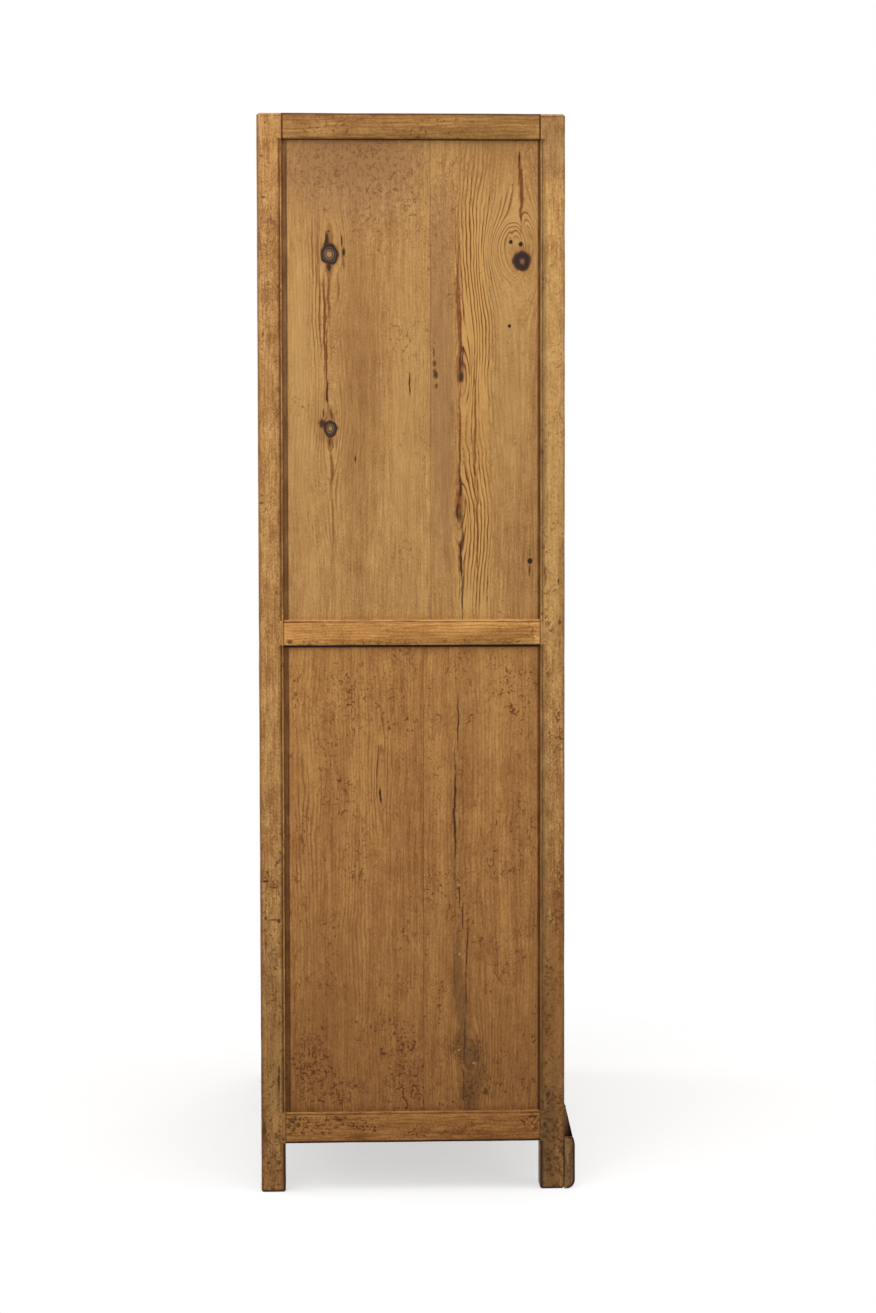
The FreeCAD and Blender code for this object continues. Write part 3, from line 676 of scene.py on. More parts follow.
def dirtAndShadeOf(place, edges):  # painted shade and dirt are heaviest where two pieces meet
    most = 0.0
    for edge in edges:
        far = (place[edge["axis"]] - edge["at"]) * edge["way"]
        stops = edge["stops"]
        if "corner" in edge:    # measured along the faces that meet in the arris
            cornerAxis, corner = edge["corner"]
            far = max(far, 0.0) + abs(place[cornerAxis] - corner)
        if "face" in edge and abs(place.x - edge["face"]) > wear["faceDepth"]:
            continue
        if far < -edge["behind"] or far > stops[-1][0]:
            continue
        if "span" in edge and not edge["span"][0] <= place.z <= edge["span"][1]:
            continue
        far = max(far, 0.0)
        for (start, first), (end, last) in zip(stops, stops[1:]):
            if start <= far <= end:
                most = max(most, first + (last - first) * (far - start) / (end - start))
    return most


def rimmed(shape, side):  # an end face of foot or apron gets a narrow rim of painted black shade, but for the edge on the post
    bmesh.ops.dissolve_limit(shape, angle_limit=wear["flatAngle"], verts=shape.verts, edges=shape.edges)
    sliced(shape, axisX, [side - math.copysign(wear["rimWidth"], side)])
    rim = shape.verts.layers.float.get("rim") or shape.verts.layers.float.new("rim")
    back = reach(shape)[1].y

    def atEnd(face):
        return all(abs(vert.co.x - side) < wear["mergeGap"] for vert in face.verts)

    ends = [face for face in shape.faces if atEnd(face)]
    for vert in [vert for face in ends for vert in face.verts]:
        vert[rim] = wear["rimDirt"] if vert.co.y < back - wear["rimWidth"] else 0.0
    bmesh.ops.inset_region(shape, faces=ends, thickness=wear["rimWidth"])
    for vert in [vert for face in ends for vert in face.verts]:
        vert[rim] = 0.0


def wornPiece(name, shape, body, material, along, across, shift, boardTint, edges):
    low, high = reach(shape)
    sliced(shape, along, steps(low[along], high[along], wear["slice"]))
    for edge in edges:
        sliced(shape, edge["axis"], [edge["at"] + edge["way"] * far for far, strength in edge["stops"]])
        if "span" in edge:
            start, end = edge["span"]
            sliced(shape, axisZ, [start - mm, start, end, end + mm])
        if "corner" in edge:
            cornerAxis, corner = edge["corner"]
            inward = -math.copysign(1.0, corner)
            sliced(shape, cornerAxis, [corner + inward * far for far, strength in edge["stops"]])
    shape.normal_update()
    rim = shape.verts.layers.float.get("rim")
    depthAxis = axisX + axisY + axisZ - along - across
    grain, grime, moves = [], [], []
    for vert in shape.verts:
        place = vert.co
        grain.append((place[across] + shift[0] + place[depthAxis] * wear["turn"], place[along] + shift[1],
                      place[depthAxis] + shift[2]))
        grime.append(max(dirtAndShadeOf(place, edges), vert[rim] if rim else 0.0))
        wave = noise.noise(place * wear["waveCount"] + Vector(shift))
        dent = noise.noise(place * wear["dentCount"] + Vector(shift))
        move = vert.normal * -(wear["wave"] * (wave * 0.5 + 0.5) + wear["dent"] * max(0.0, dent))
        if "panel" in name:
            move[across] *= wear["jointMove"]    # the joints between boards stay tight
        moves.append(move)
    for vert, move in zip(shape.verts, moves):
        vert.co += move
    mesh = meshOf(name, shape, material)

    def store(label, kind, field, values):
        mesh.attributes.new(label, kind, "POINT").data.foreach_set(field, values)

    store("grain", "FLOAT_VECTOR", "vector", [part for place in grain for part in place])
    # painted shade and dirt, a strength for each point; above 1 it paints a black shadow
    store("grime", "FLOAT", "value", grime)
    store("boardTint", "FLOAT_VECTOR", "vector", list(boardTint) * len(grain))
    piece = linked(name, mesh)
    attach(piece, body)
    return piece


# camera, as the photograph was taken: from the left side, a little towards the back
cameraPlan = {
    "distance": 5.0, "side": -0.53, "aside": 0.190, "height": 1.2195,
    "yaw": -0.04511, "pitch": 0.0555, "roll": -0.00155, "lens": 78.85, "sensor": 36.0,
}


def placeCamera():
    plan = cameraPlan
    camera = linked("camera", bpy.data.cameras.new("camera"))
    camera.data.lens = plan["lens"]
    camera.data.sensor_width = plan["sensor"]
    yaw, pitch, roll = plan["yaw"], plan["pitch"], plan["roll"]
    level = math.cos(pitch)
    ahead = Vector((math.cos(yaw) * level, math.sin(yaw) * level, -math.sin(pitch)))
    right = Vector((math.sin(yaw), -math.cos(yaw), 0.0))
    up = right.cross(ahead)
    turnedRight = right * math.cos(roll) + up * math.sin(roll)
    turnedUp = up * math.cos(roll) - right * math.sin(roll)
    turn = Matrix((turnedRight, turnedUp, -ahead)).transposed().to_4x4()
    place = (plan["side"] - plan["distance"], plan["aside"], plan["height"])
    camera.matrix_world = Matrix.Translation(place) @ turn
    bpy.context.scene.camera = camera


# soft light from above and from all round, and a pale floor that fades into a white room
studio = {
    "skyLight": 0.46, "groundLight": 0.17, "horizon": (-0.15, 0.15), "white": (1.0, 1.0, 1.0, 1.0),
    "floorSize": 5.0, "floor": (0.95, 0.95, 0.95, 1.0), "floorRough": 0.9,
    "floorFade": (0.7, 1.9), "floorClear": 0.58,
    "lamps": {
        "topSoftbox": {"at": (-1.7, 0.3, 4.4), "aim": (-0.2, 0.0, 0.9), "size": 3.4, "power": 108.0},
        "leftSoftbox": {"at": (-5.4, 1.6, 2.7), "aim": (-0.5, 0.0, 1.0), "size": 2.8, "power": 96.0},
        "frontSoftbox": {"at": (-0.9, -5.4, 2.6), "aim": (0.0, -0.2, 0.95), "size": 2.8, "power": 120.0},
        "rightSoftbox": {"at": (5.4, -1.6, 2.6), "aim": (0.5, 0.0, 0.95), "size": 2.8, "power": 114.0},
        "backSoftbox": {"at": (1.6, 5.2, 2.6), "aim": (0.0, 0.2, 0.95), "size": 2.8, "power": 112.0},
    },
}


def lightStudio():
    world = bpy.data.worlds.new("whiteRoom")
    world.use_nodes = True
    bpy.context.scene.world = world
    net = Net(world.node_tree)
    background = world.node_tree.nodes["Background"]
    path = net.add("ShaderNodeLightPath").outputs
    seen = net.total([path["Is Camera Ray"], path["Is Glossy Ray"], path["Is Transmission Ray"]], "MAXIMUM")
    rise = net.parted(net.add("ShaderNodeTexCoord").outputs["Generated"])[2]
    room = net.spread(rise, *studio["horizon"], studio["groundLight"], studio["skyLight"])
    net.put(background.inputs["Strength"], net.calc("MAXIMUM", seen, room))
    net.put(background.inputs["Color"], studio["white"])
    for name, lamp in studio["lamps"].items():
        data = bpy.data.lights.new(name, "AREA")
        data.size = lamp["size"]
        data.energy = lamp["power"]
        light = linked(name, data)
        light.location = lamp["at"]
        light.rotation_euler = (Vector(lamp["aim"]) - Vector(lamp["at"])).to_track_quat("-Z", "Y").to_euler()


def layFloor():
    half = studio["floorSize"] / 2
    corners = [(-half, -half, 0), (half, -half, 0), (half, half, 0), (-half, half, 0)]
    mesh = bpy.data.meshes.new("floor")
    mesh.from_pydata(corners, [], [(0, 1, 2, 3)])
    floor = linked("floor", mesh)
    paint, net, shader = newMaterial("paleFloor")
    net.put(shader.inputs["Base Color"], studio["floor"])
    net.put(shader.inputs["Roughness"], studio["floorRough"])
    net.put(shader.inputs["Specular IOR Level"], 0.0)
    x, y = net.parted(net.add("ShaderNodeTexCoord").outputs["Object"])[:2]
    far = net.calc("SQRT", net.plus(net.times(x, x), net.times(y, y)))
    blend = net.add("ShaderNodeMixShader")
    net.put(blend.inputs[0], net.spread(far, *studio["floorFade"], studio["floorClear"], 1.0))
    net.put(blend.inputs[1], shader.outputs[0])
    net.put(blend.inputs[2], net.add("ShaderNodeBsdfTransparent").outputs[0])
    net.put(paint.node_tree.nodes["Material Output"].inputs["Surface"], blend.outputs[0])
    mesh.materials.append(paint)


# openings between the frame members, read from the CAD boxes
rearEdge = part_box("back_left_post")[0].y
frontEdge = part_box("front_left_post")[1].y
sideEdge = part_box("back_right_post")[0].x
rows = {
    "upper": (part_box("left_mid_rail")[1].z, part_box("left_top_rail")[0].z),
    "lower": (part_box("left_bottom_rail")[1].z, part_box("left_mid_rail")[0].z),
}
beadWidth = 3.5 * mm

# painted shade and dirt along the frame: (distance from the edge in mm, strength); above 1 it turns to a
# painted black shadow. Most kinds stand for shade in recesses, under rails and on edges that turn from the
# light, mixed with dirt; seams are dark joints
dirtAndShadeStops = {
    "side": [(0.0, 1.0), (4.5, 0.85), (8.5, 0.0)],
    "rearSide": [(0.0, 0.85), (6.0, 0.88), (8.2, 1.1), (10.5, 0.0)],
    "frontSide": [(0.0, 1.12), (3.5, 1.02), (5.8, 0.0)],
    "underTop": [(0.0, 1.6), (1.0, 1.1), (2.0, 0.15), (5.0, 0.0)],
    "underMid": [(0.0, 2.0), (3.2, 1.8), (4.6, 0.4), (9.0, 0.0)],
    "sill": [(0.0, 0.12), (4.0, 0.24), (6.5, 0.10), (14.0, 0.0)],
    "seam": [(0.0, 1.25), (1.0, 0.7), (2.2, 0.0)],
    "quirk": [(0.0, 1.0), (2.6, 0.45), (5.0, 0.0)],
    "faintQuirk": [(0.0, 0.36), (2.6, 0.16), (5.0, 0.0)],
    "bead": [(0.0, 1.0), (1.2, 0.15), (3.5, 0.10)],
    "faintBead": [(0.0, 0.36), (1.2, 0.06), (3.5, 0.04)],
    "arris": [(0.0, 1.35), (2.0, 1.0), (3.8, 0.25), (6.0, 0.0)],
    "top": [(0.0, 1.35), (1.8, 1.1), (3.6, 0.25), (8.0, 0.0)],
    "topSeam": [(0.0, 1.7), (1.6, 1.4), (3.0, 0.2), (5.0, 0.0)],
    "legEdge": [(0.0, 1.75), (2.6, 1.5), (5.0, 0.5), (9.0, 0.0)],
    "legEnd": [(0.0, 1.6), (2.4, 1.2), (5.5, 0.0)],
    "under": [(0.0, 1.9), (2.8, 1.6), (4.6, 0.2), (6.0, 0.0)],
}


def edgeAt(axis, at, way, kind, behind=0.05, **limits):
    stops = [(far * mm, strength) for far, strength in dirtAndShadeStops[kind]]
    return dict(limits, axis=axis, at=at, way=way, behind=behind, stops=stops)


def openingEdges(axis, low, high, bottom, top, kinds):
    return [edgeAt(axis, low, 1, kinds[0]), edgeAt(axis, high, -1, kinds[1]),
            edgeAt(axisZ, bottom, 1, "sill"), edgeAt(axisZ, top, -1, kinds[2])]


def doorOpening(door):  # the clear opening between the stiles and rails of one door
    stiles = [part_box(f"{door}_hinge_stile"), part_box(f"{door}_meeting_stile")]
    low = min(box[1].x for box in stiles)
    high = max(box[0].x for box in stiles)
    return low, high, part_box(f"{door}_door_bottom_rail")[1].z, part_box(f"{door}_door_top_rail")[0].z


def dirtAndShadeEdges(node):  # where painted shade and dirt gather on one piece
    for row, (bottom, top) in rows.items():
        under = "underTop" if row == "upper" else "underMid"
        if node in (f"left_{row}_panel", f"right_{row}_panel"):
            return openingEdges(axisY, frontEdge, rearEdge, bottom, top, ("frontSide", "rearSide", under))
        if node == f"back_{row}_panel":
            return openingEdges(axisX, -sideEdge, sideEdge, bottom, top, ("side", "side", under))
    if "_door_" in node:
        low, high, bottom, top = doorOpening(node.split("_door_")[0])
        if node.endswith("_panel"):
            return openingEdges(axisX, low, high, bottom, top, ("side", "side", "underTop"))
        return [edgeAt(axisX, low, 1, "seam"), edgeAt(axisX, high, -1, "seam")]
    if node.endswith("_rail"):
        low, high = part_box(node)
        seam = "topSeam" if "top" in node else "seam"
        outer = {"left": (axisX, low.x), "right": (axisX, high.x),
                 "front": (axisY, low.y), "back": (axisY, high.y)}
        if node.startswith(("front_", "back_")):
            edges = [edgeAt(axisX, -sideEdge, 1, seam), edgeAt(axisX, sideEdge, -1, seam)]
        else:
            edges = [edgeAt(axisY, frontEdge, 1, seam), edgeAt(axisY, rearEdge, -1, seam)]
            if "top" not in node:
                quirk = high.z - beadWidth
                edges.append(edgeAt(axisZ, quirk, -1, "faintQuirk", 0.0))
                edges.append(edgeAt(axisZ, quirk, 1, "faintBead", 0.0))
        if "top" in node:
            edges.append(edgeAt(axisZ, high.z, -1, "top", 0.0, corner=outer[node.split("_")[0]]))
        if "bottom" in node:
            edges.append(edgeAt(axisZ, low.z, 1, "under", 0.0))
        return edges
    if node.startswith(("front_", "back_")) and node.endswith("_post"):
        low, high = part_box(node)
        quirk, away, outer, kind = rearEdge + beadWidth, 1, high.y, "quirk"
        if "front" in node:
            quirk, away, outer, kind = frontEdge - beadWidth, -1, low.y, "faintQuirk"
        side = low.x if "left" in node else high.x
        free = (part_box("left_front_foot")[1].z if "front" in node else low.z, high.z)
        leg = (low.z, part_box("left_bottom_rail")[0].z)
        inner = low.y + high.y - outer
        edges = [edgeAt(axisY, outer, -away, "arris", 0.0, corner=(axisX, side), span=free),
                 edgeAt(axisY, inner, away, "legEdge", 0.0, corner=(axisX, side), span=leg),
                 edgeAt(axisZ, high.z, -1, "top", 0.0, corner=(axisX, side)),
                 edgeAt(axisZ, high.z, -1, "top", 0.0, corner=(axisY, outer)),
                 edgeAt(axisZ, low.z, 1, "legEnd", 0.0)]
        for span in rows.values():
            edges += [edgeAt(axisY, quirk, away, kind, 0.0, span=span, face=side),
                      edgeAt(axisY, quirk, -away, "bead", 0.0, span=span, face=side)]
        return edges
    return []


# pieces of the left side, each with knots and lists of marks by stain, all given one by one; zones have
# strong late-wood lines, patches many specks. A row is (u, v, half width, half length, gain, squareness), as
# in mark
upperRearBoard = {
    "knots": [knot(150.4, 1638.6, 15.5, "ring"), knot(150.3, 1337.5, 12.5, "ring")],
    "mark": [
        (155.4, 1662, 4.4, 19), (155, 1655, 7, 9), (152.5, 1678, 4, 2.6, 0.8), (151.4, 1616, 5, 15),
        (125.3, 1643.3, 3.6, 12), (127.7, 1660.5, 1.8, 13, 0.9), (126.1, 1624, 1.9, 16, 0.6),
        (164, 1346, 6.4, 10.5, 0.95), (161, 1364, 2.2, 11, 0.9), (149.8, 1362, 2.2, 14, 0.85),
        (155.2, 1398, 2.4, 34), (150, 1314, 2.4, 10, 0.8), (145.9, 1309, 2, 9, 0.6),
        (11.9, 1415, 1.8, 26), (107.7, 1285.2, 2, 10),
    ],
    "line": [
        (151.4, 1640, 22, 34, 0.42), (154, 1340, 22, 40, 0.42), (148.6, 1272, 4, 42, 0.75),
        (147, 1190, 2.4, 70, 0.5), (160, 1520, 2.6, 120, 0.9), (156.5, 1450, 2.2, 90, 0.95),
        (152, 1565, 3.2, 50, 0.8), (168, 1560, 2.2, 110, 0.5), (172, 1640, 3, 60, 0.6),
        (180, 1650, 2.4, 80, 0.5), (136, 1590, 2.6, 40, 0.5),
    ],
    "light": [(205, 1400, 26, 400, 0.45, 4), (20, 1380, 30, 330, 0.35, 3)],
    "dark": [(100, 1420, 42, 330, 0.3, 3), (110, 1810, 150, 66, 0.56, 3)],
    "ash": [(110, 1800, 150, 120, 0.58, 3), (170, 1822, 60, 12, 0.5, 3)],
    "zones": [
        (170, 1540, 20, 170, 0.55), (150, 1260, 22, 150, 0.35), (151, 1640, 46, 90, 0.45),
        (150, 1338, 46, 80, 0.45),
    ],
    "patches": [(100, 1780, 170, 70, 0.9, 3), (50, 1720, 110, 80, 0.6)],
}
upperFrontBoard = {
    "knots": [
        knot(-182.8, 1627.1, 15.5, "solid"), knot(-163.4, 1660.4, 3.2, "dot"),
        knot(-180.9, 1656.6, 3.6, "dot"), knot(-161.2, 1515.4, 2.9, "dot"),
        knot(-197, 1107.3, 4.4, "dot"), knot(-170, 1645, 34, stretch=1.6),
        knot(-79, 1432, 13, stretch=4.5), knot(-74, 1190, 12, stretch=4.5),
    ],
    "mark": [
        (-77, 1427, 6, 14, 0.95), (-75, 1452, 2.6, 26, 0.8), (-79.5, 1462, 2, 24, 0.8),
        (-31.6, 1432, 6, 11, 0.9), (-30, 1450, 3.6, 7, 0.8), (-33.5, 1412, 3.4, 6, 0.7),
        (-29.5, 1468, 1.8, 10, 0.7), (-70, 1194, 2.6, 22, 0.95), (-75, 1186, 6, 12, 0.7),
        (-74, 1240, 3, 26, 0.85), (-79, 1150, 2.2, 30, 0.8), (-77, 1110, 2.8, 48),
        (-78.4, 1045, 1.8, 50, 0.9), (-197, 1090, 1.8, 14, 0.8), (-197, 1122, 1.4, 12, 0.6),
        (-179, 1806, 2, 10, 0.9),
    ],
    "line": [
        (-182, 1745, 4, 70, 0.95), (-178.5, 1785, 3.4, 40, 0.95), (-182, 1632, 24, 30, 0.45),
        (-76, 1490, 2.8, 120, 0.95), (-75, 1310, 2.6, 110, 0.95), (-76, 1438, 11, 34, 0.6),
        (-73, 1205, 11, 40, 0.6), (-101, 1330, 2.6, 150, 0.8), (-105, 1170, 2.4, 120, 0.8),
        (-72, 1560, 3, 130, 0.8),
    ],
    "light": [(-165, 1400, 40, 260, 0.3, 3)],
    "amber": [(-100, 1400, 32, 440, 0.35, 4)],
    "dark": [(-150, 1810, 60, 40, 0.3, 3)],
    "ash": [(-43, 1450, 22, 420, 0.55, 4)],
    "zones": [(-103, 1560, 38, 290, 1, 4), (-99, 1150, 34, 190, 1, 4), (-165, 1690, 50, 85, 0.68)],
    "patches": [(-48, 1700, 34, 150, 0.6, 3), (-190, 1790, 40, 60, 0.5)],
}
lowerRearBoard = {
    "knots": [knot(64, 730, 7, stretch=10)],
    "mark": [(64.1, 698.8, 2.4, 20), (70, 752, 1.8, 46, 0.7), (60, 242, 9, 4, 0.6)],
    "dark": [(150, 330, 60, 200, 0.25, 3)],
    "zones": [(66, 740, 26, 150, 0.45), (190, 640, 36, 240, 0.3), (110, 480, 30, 220, 0.22)],
    "patches": [
        (190, 215, 36, 90, 1.2), (140, 175, 70, 40, 0.9), (20, 230, 60, 90, 0.7),
        (130, 860, 110, 80, 0.45),
    ],
}
lowerFrontBoard = {
    "knots": [knot(-90, 236, 17, stretch=3)],
    "mark": [
        (-71.5, 828, 1.9, 60, 0.9), (-65, 670, 2.5, 120, 0.95), (-86.2, 423.5, 2, 60, 0.8),
        (-64, 400, 2.2, 60, 0.4), (-73.5, 522, 1.9, 26, 0.8), (-78.5, 484, 1.9, 28, 0.8),
        (-85, 350, 1.9, 44, 0.7), (-82, 262, 1.9, 54, 0.6), (-80, 185, 1.8, 34, 0.6),
    ],
    "light": [(-140, 870, 90, 110, 0.3, 3)],
    "dark": [(-150, 225, 80, 110, 0.22, 3)],
    "smoke": [
        (-66, 620, 5, 190, 0.45), (-70, 390, 9, 100, 0.5), (-75, 320, 12, 80, 0.55),
        (-77, 264, 19, 40, 0.55), (-93, 238, 24, 36, 0.6), (-107, 203, 20, 36, 0.45),
        (-91, 172, 20, 60, 0.55),
    ],
    "chip": [
        (-72.3, 539.4, 2.4, 2.6, 0.9), (-72.2, 417.5, 2.2, 2.6, 0.9), (-72, 247.3, 3.2, 2, 0.9),
        (-98.4, 223.9, 3.2, 2.6, 0.9),
    ],
    "zones": [(-112, 232, 46, 95, 0.36), (-60, 240, 18, 80, 0.3)],
    "patches": [(-84, 245, 40, 40, 1.1), (-120, 180, 70, 30, 0.8), (-150, 860, 100, 70, 0.45)],
}
bottomRail = {
    "mark": [
        (126, 221, 7, 9, 0.65), (119, 212, 6, 7, 0.6), (112, 219, 4, 5, 0.6), (127, 141, 4, 13, 0.6),
        (119, 134, 3, 5, 0.5), (104, 226, 3, 4, 0.6), (128, -206, 5, 5, 0.75), (118, -200, 3, 4, 0.65),
        (110, -209, 3, 4, 0.6),
    ],
    # the long light strip along the top edge is worn wood with a painted highlight of the bead
    "chip": [(151.8, 0, 1.6, 216, 0.45, 4)],
    "patches": [
        (118, 212, 22, 26, 1.9), (122, 150, 14, 34, 1.5), (108, 176, 16, 30), (114, 95, 12, 40, 0.9),
        (120, -200, 18, 26, 1.8), (106, -40, 16, 110, 0.7),
    ],
}
midRail = {
    "mark": [(967, 222, 5, 6, 0.8)],
    # the first two are chips; the long light strip along the top edge is worn wood with a painted highlight
    # of the bead
    "chip": [(971, -210, 2.4, 2.6, 0.7), (976, -206, 2, 2, 0.6), (1003.6, 0, 1.5, 216, 0.45, 4)],
    "patches": [
        (968, 190, 7, 60, 1.2), (967, 60, 6, 120, 0.9), (967, -120, 6, 120, 0.9),
        (985, -200, 18, 14, 1.2),
    ],
}
topRail = {
    "dark": [(1866, -120, 2, 90, 0.5)],
    "ash": [(1861, 108, 7, 26, 0.5)],
    "patches": [(1858, 100, 24, 120, 0.5)],
}
backPost = {
    # the first six are curled cracks across the post
    "mark": [
        (266.4, 549, 6.5, 2.6, 0.85), (250.4, 538, 9, 1.7, 0.8), (253.7, 481.4, 13, 1.7, 0.8),
        (267.5, 484.5, 3, 4, 0.9), (241.5, 480, 3, 4.5, 0.9), (244.5, 581.5, 4.5, 2, 0.8),
        (265, 432, 1.8, 22, 0.5), (255.7, 419.8, 1.8, 18, 0.45), (244.5, 199, 2.8, 30, 0.9),
        (270.5, 112, 4.5, 20, 0.7), (246.7, 99.8, 8, 4, 0.6), (262.7, 52, 2.6, 2.4, 0.95),
        (261.4, 1863.8, 1.8, 2, 0.9),
    ],
    "line": [(268, 1806, 3.5, 2.6, 0.8), (264, 1735.7, 5, 2.4, 0.9)],
    "smoke": [(255, 300, 24, 180, 0.25, 3), (247, 190, 7, 60, 0.5)],
    "patches": [
        (255, 60, 30, 70, 0.9), (268, 130, 14, 90, 0.9), (255, 500, 30, 260, 0.5),
        (262, 1600, 18, 260, 0.6),
    ],
}
frontPost = {
    "mark": [
        (-246.2, 1072.5, 1.8, 5), (-248, 1001, 4, 5, 0.7), (-222.6, 1083, 3, 24, 0.6),
        (-228.4, 167, 6, 9, 0.7), (-224, 114, 4, 5, 0.8), (-230, 53, 5.5, 6, 0.7),
        (-236.5, 24.6, 2.6, 3, 0.85), (-224, 66, 3, 6, 0.5),
    ],
    "line": [
        (-250, 1050, 5, 150, 0.35, 3), (-251, 480, 5, 180, 0.4, 3), (-244, 520, 12, 70, 0.3),
        (-232, 330, 16, 90, 0.24),
    ],
    "light": [(-238, 1250, 26, 400, 0.5, 3)],
    "dark": [(-236, 300, 40, 300, 0.65, 3)],
    "smoke": [
        (-236, 1840, 30, 90, 0.4, 3), (-220, 1450, 8, 420, 0.4, 4), (-220, 600, 8, 420, 0.4, 4),
        (-228, 60, 22, 150, 0.6, 4),
    ],
    "patches": [
        (-236, 900, 30, 800, 0.45, 4), (-228, 320, 14, 150, 1.2), (-247, 500, 10, 110),
        (-236, 90, 30, 130, 1.9, 4),
    ],
}
footBlock = {
    "smoke": [(-272, 40, 6, 50, 0.35, 3)],
    # both light lines, by the post and along the top edge, are painted highlights of arrises
    "chip": [(-261, 52, 1.8, 30, 0.4), (-264, 88, 5, 1.8, 0.45)],
    "patches": [(-267, 50, 12, 50)],
}

# the right side has knots, streaks and cracks of its own
rightUpper = {
    "knots": [
        knot(96, 1560, 13.5, "ring"), knot(84, 1236, 10.5, "solid"), knot(-128, 1402, 12, "ring"),
        knot(-60, 1700, 3.2, "dot"), knot(-176, 1120, 4, "dot"),
    ],
    "mark": [
        (98, 1590, 3.2, 20), (95, 1534, 3.4, 14), (86, 1262, 2.6, 18, 0.9), (83, 1212, 2.6, 16, 0.9),
        (-126, 1430, 3, 18), (-129, 1376, 3, 16), (10, 1640, 1.8, 34, 0.9), (14, 1580, 1.8, 30, 0.8),
    ],
    "line": [(92, 1400, 2.4, 130, 0.75), (-124, 1290, 2.4, 80, 0.8), (-131, 1520, 2.4, 90, 0.8)],
    "light": [(150, 1400, 40, 360, 0.35, 3)],
    "amber": [(-40, 1300, 30, 380, 0.35, 4)],
    "ash": [(100, 1800, 150, 100, 0.5, 3)],
    "zones": [(-45, 1380, 34, 380, 1, 4), (96, 1560, 44, 90, 0.45), (-128, 1402, 44, 90, 0.45)],
    "patches": [(60, 1780, 170, 70, 0.8, 3), (-180, 1060, 50, 50, 0.7)],
}
rightLower = {
    "knots": [knot(120, 820, 6, stretch=9), knot(-140, 640, 9.5, "loose")],
    "mark": [(-30, 700, 2.2, 120, 0.95), (-27, 560, 1.9, 60, 0.9), (-34, 470, 1.9, 50, 0.8)],
    "dark": [(150, 300, 70, 140, 0.25, 3)],
    "smoke": [(-30, 600, 6, 200, 0.4), (-42, 300, 14, 130, 0.5)],
    "zones": [(60, 600, 30, 300, 0.35)],
    "patches": [(150, 215, 60, 70, 1.1), (-130, 200, 70, 50), (0, 880, 150, 70, 0.5)],
}

# what differs from fir on rails, posts, lower boards and the bottom rail
railFir = {"speckShare": 0.38, "speckGain": 0.70, "ringGain": 0.34, "fibreGain": 0.42,
           "ringSpacing": 0.0062, "mottleGain": 0.46, "gritGain": 0.34}
postFir = {"speckShare": 0.34, "speckGain": 0.80, "ringGain": 0.16, "fibreGain": 0.50, "mottleGain": 0.70,
           "gritGain": 0.54}
lowFir = {"speck": tint(100, 52, 23), "speckShare": 0.32, "speckGain": 0.84, "fibreGain": 0.26,
          "lineGain": 0.30, "mottleGain": 0.42, "gritGain": 0.36, "ringGain": 0.26}
sillFir = dict(railFir, speck=tint(88, 48, 22), speckShare=0.32, speckGain=0.88, fibreGain=0.56,
               mottleGain=0.68, gritGain=0.48)

# boards with a figure of their own: (name, marks, changes to fir, factor on red, green and blue);
# the boards of a panel come from front to back
sideBoards = {
    "left_upper_panel": [("upperFrontFir", upperFrontBoard, {}, (1.0, 1.0, 1.0)),
                         ("upperRearFir", upperRearBoard, {}, (1.0, 1.0, 1.0))],
    "left_lower_panel": [("lowerFrontFir", lowerFrontBoard, lowFir, (0.95, 0.86, 0.78)),
                         ("lowerRearFir", lowerRearBoard, lowFir, (0.93, 0.83, 0.74))],
    "left_top_rail": [("topRailFir", topRail, railFir, (0.81, 0.76, 0.66))],
    "left_mid_rail": [("midRailFir", midRail, railFir, (1.33, 1.27, 1.09))],
    "left_bottom_rail": [("bottomRailFir", bottomRail, sillFir, (1.08, 0.95, 0.775))],
    "front_left_post": [("frontPostFir", frontPost, postFir, (1.10, 1.12, 1.12))],
    "back_left_post": [("backPostFir", backPost, postFir, (1.08, 1.06, 1.04))],
    "left_front_foot": [("footFir", footBlock, postFir, (0.74, 0.79, 0.88))],
    "right_upper_panel": [("rightUpperFrontFir", rightUpper, {}, (1.00, 1.00, 1.00)),
                          ("rightUpperRearFir", rightUpper, {}, (0.92, 0.90, 0.88))],
    "right_lower_panel": [("rightLowerFrontFir", rightLower, lowFir, (0.96, 0.88, 0.80)),
                          ("rightLowerRearFir", rightLower, lowFir, (0.89, 0.79, 0.70))],
}


def grainAxes(node):  # along and across the grain
    if "post" in node or "stile" in node or "foot" in node:
        return axisZ, axisY
    if node.endswith("_panel") and node != "top_panel":
        return axisZ, axisX if ("door" in node or "back" in node) else axisY
    if node in ("cross_battens", "shelf_bearers"):
        return axisY, axisX
    if node.startswith(("left_", "right_")) and node.endswith("_rail"):
        return axisY, axisZ
    if node.endswith("_rail") or "apron" in node:
        return axisX, axisZ
    return axisX, axisY


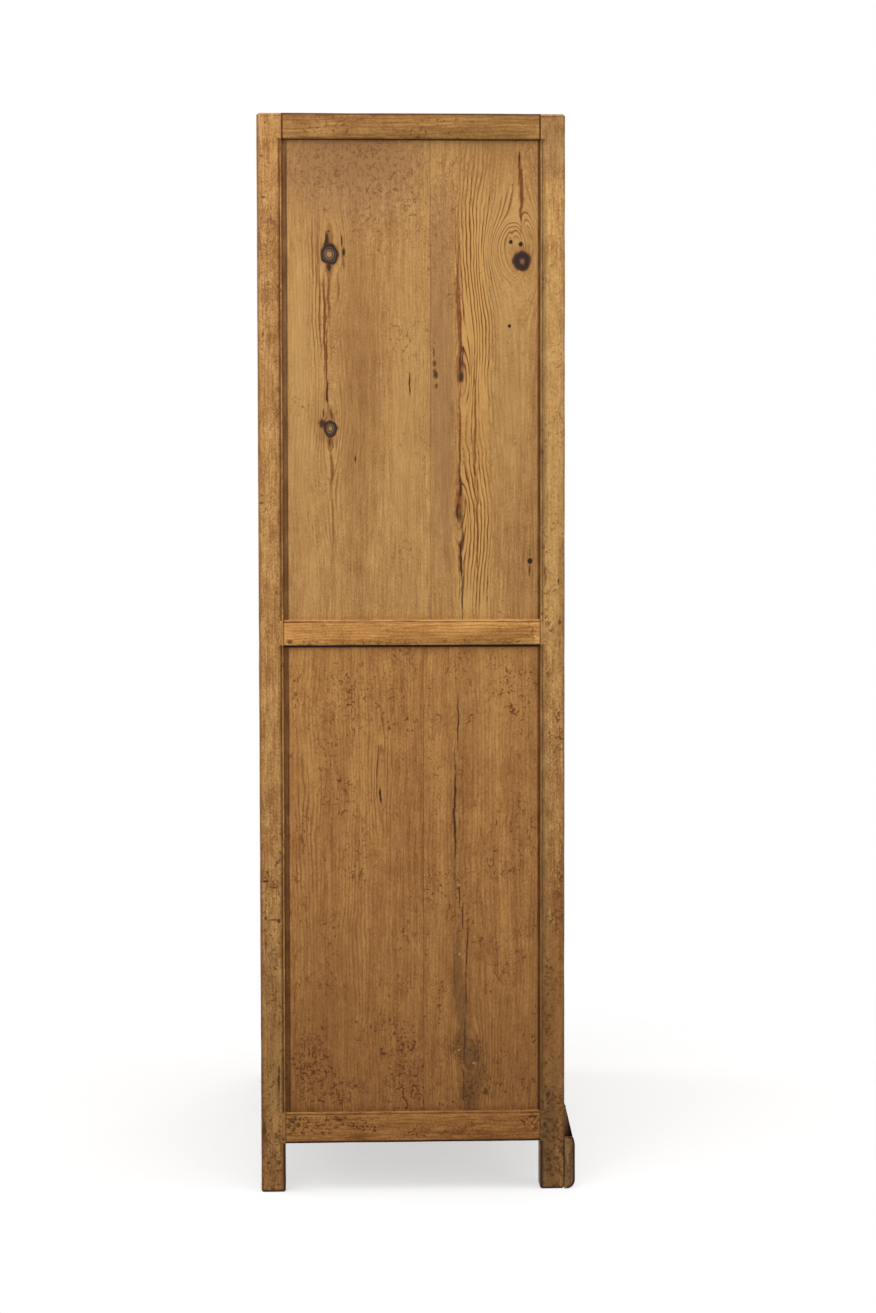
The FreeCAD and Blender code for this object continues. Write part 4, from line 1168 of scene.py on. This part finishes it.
# tone of the other pieces: the first word that is found in the name counts
toneOf = [("top_panel", (0.82, 0.80, 0.77)), ("foot", (0.60, 0.62, 0.66)), ("apron", (0.67, 0.66, 0.65)),
          ("right_top_rail", (0.80, 0.74, 0.66)), ("lower", (0.97, 0.92, 0.86)), ("", (1.0, 1.0, 1.0))]

# each board has a number of its own, from its name, that moves its pattern and tone
variety = {"letter": 0.37, "board": 5.1, "toneSpread": 0.06, "toneRate": 3.3, "tonePowers": (1.0, 1.1, 1.2),
           "acrossRange": 7.0, "alongRate": 0.31, "depthRate": 0.013}

agedFir = firMaterial("agedFir")
frameFir = firMaterial("frameFir", {}, **postFir)
agedBrass = brassMaterial()
tacks = tackTree()
slotOf = {item["node"]: item["material_slot"] for item in frame["record"]["subparts"]}
bodyOf = {node: body for body, nodes in frame["record"]["behaviour"]["bodies"].items() for node in nodes}
for node in slotOf:
    if slotOf[node] == "brass":
        brassNode(node)
        continue
    along, across = grainAxes(node)
    for number, board in enumerate(boardsOf(node)):
        mix = sum(ord(letter) for letter in node) * variety["letter"] + number * variety["board"]
        tone = 1.0 + variety["toneSpread"] * math.sin(mix * variety["toneRate"])
        base = next(base for word, base in toneOf if word in node)
        boardTint = tuple(part * tone ** power for part, power in zip(base, variety["tonePowers"]))
        depth = mix * variety["depthRate"]
        shift = (mix % variety["acrossRange"], mix * variety["alongRate"], depth)
        material = agedFir if "panel" in node or slotOf[node] == "inner_wood" else frameFir
        if node in sideBoards:
            name, own, changes, boardTint = sideBoards[node][number]
            material = firMaterial(name, own, **changes)
            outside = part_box(node)[1 if node.startswith("right") else 0].x
            shift = (-wear["turn"] * outside, 0.0, depth)
        if "foot" in node or "apron" in node:
            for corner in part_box(node):
                if abs(corner.x) > sideEdge:
                    rimmed(board, corner.x)
        piece = wornPiece(f"{node}{number}", board, bodyOf[node], material, along, across,
                          shift, boardTint, dirtAndShadeEdges(node))
        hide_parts(node)
print("pieces worn")

placeCamera()
lightStudio()
layFloor()
bpy.context.scene.view_settings.view_transform = "Standard"
print("camera and light set")
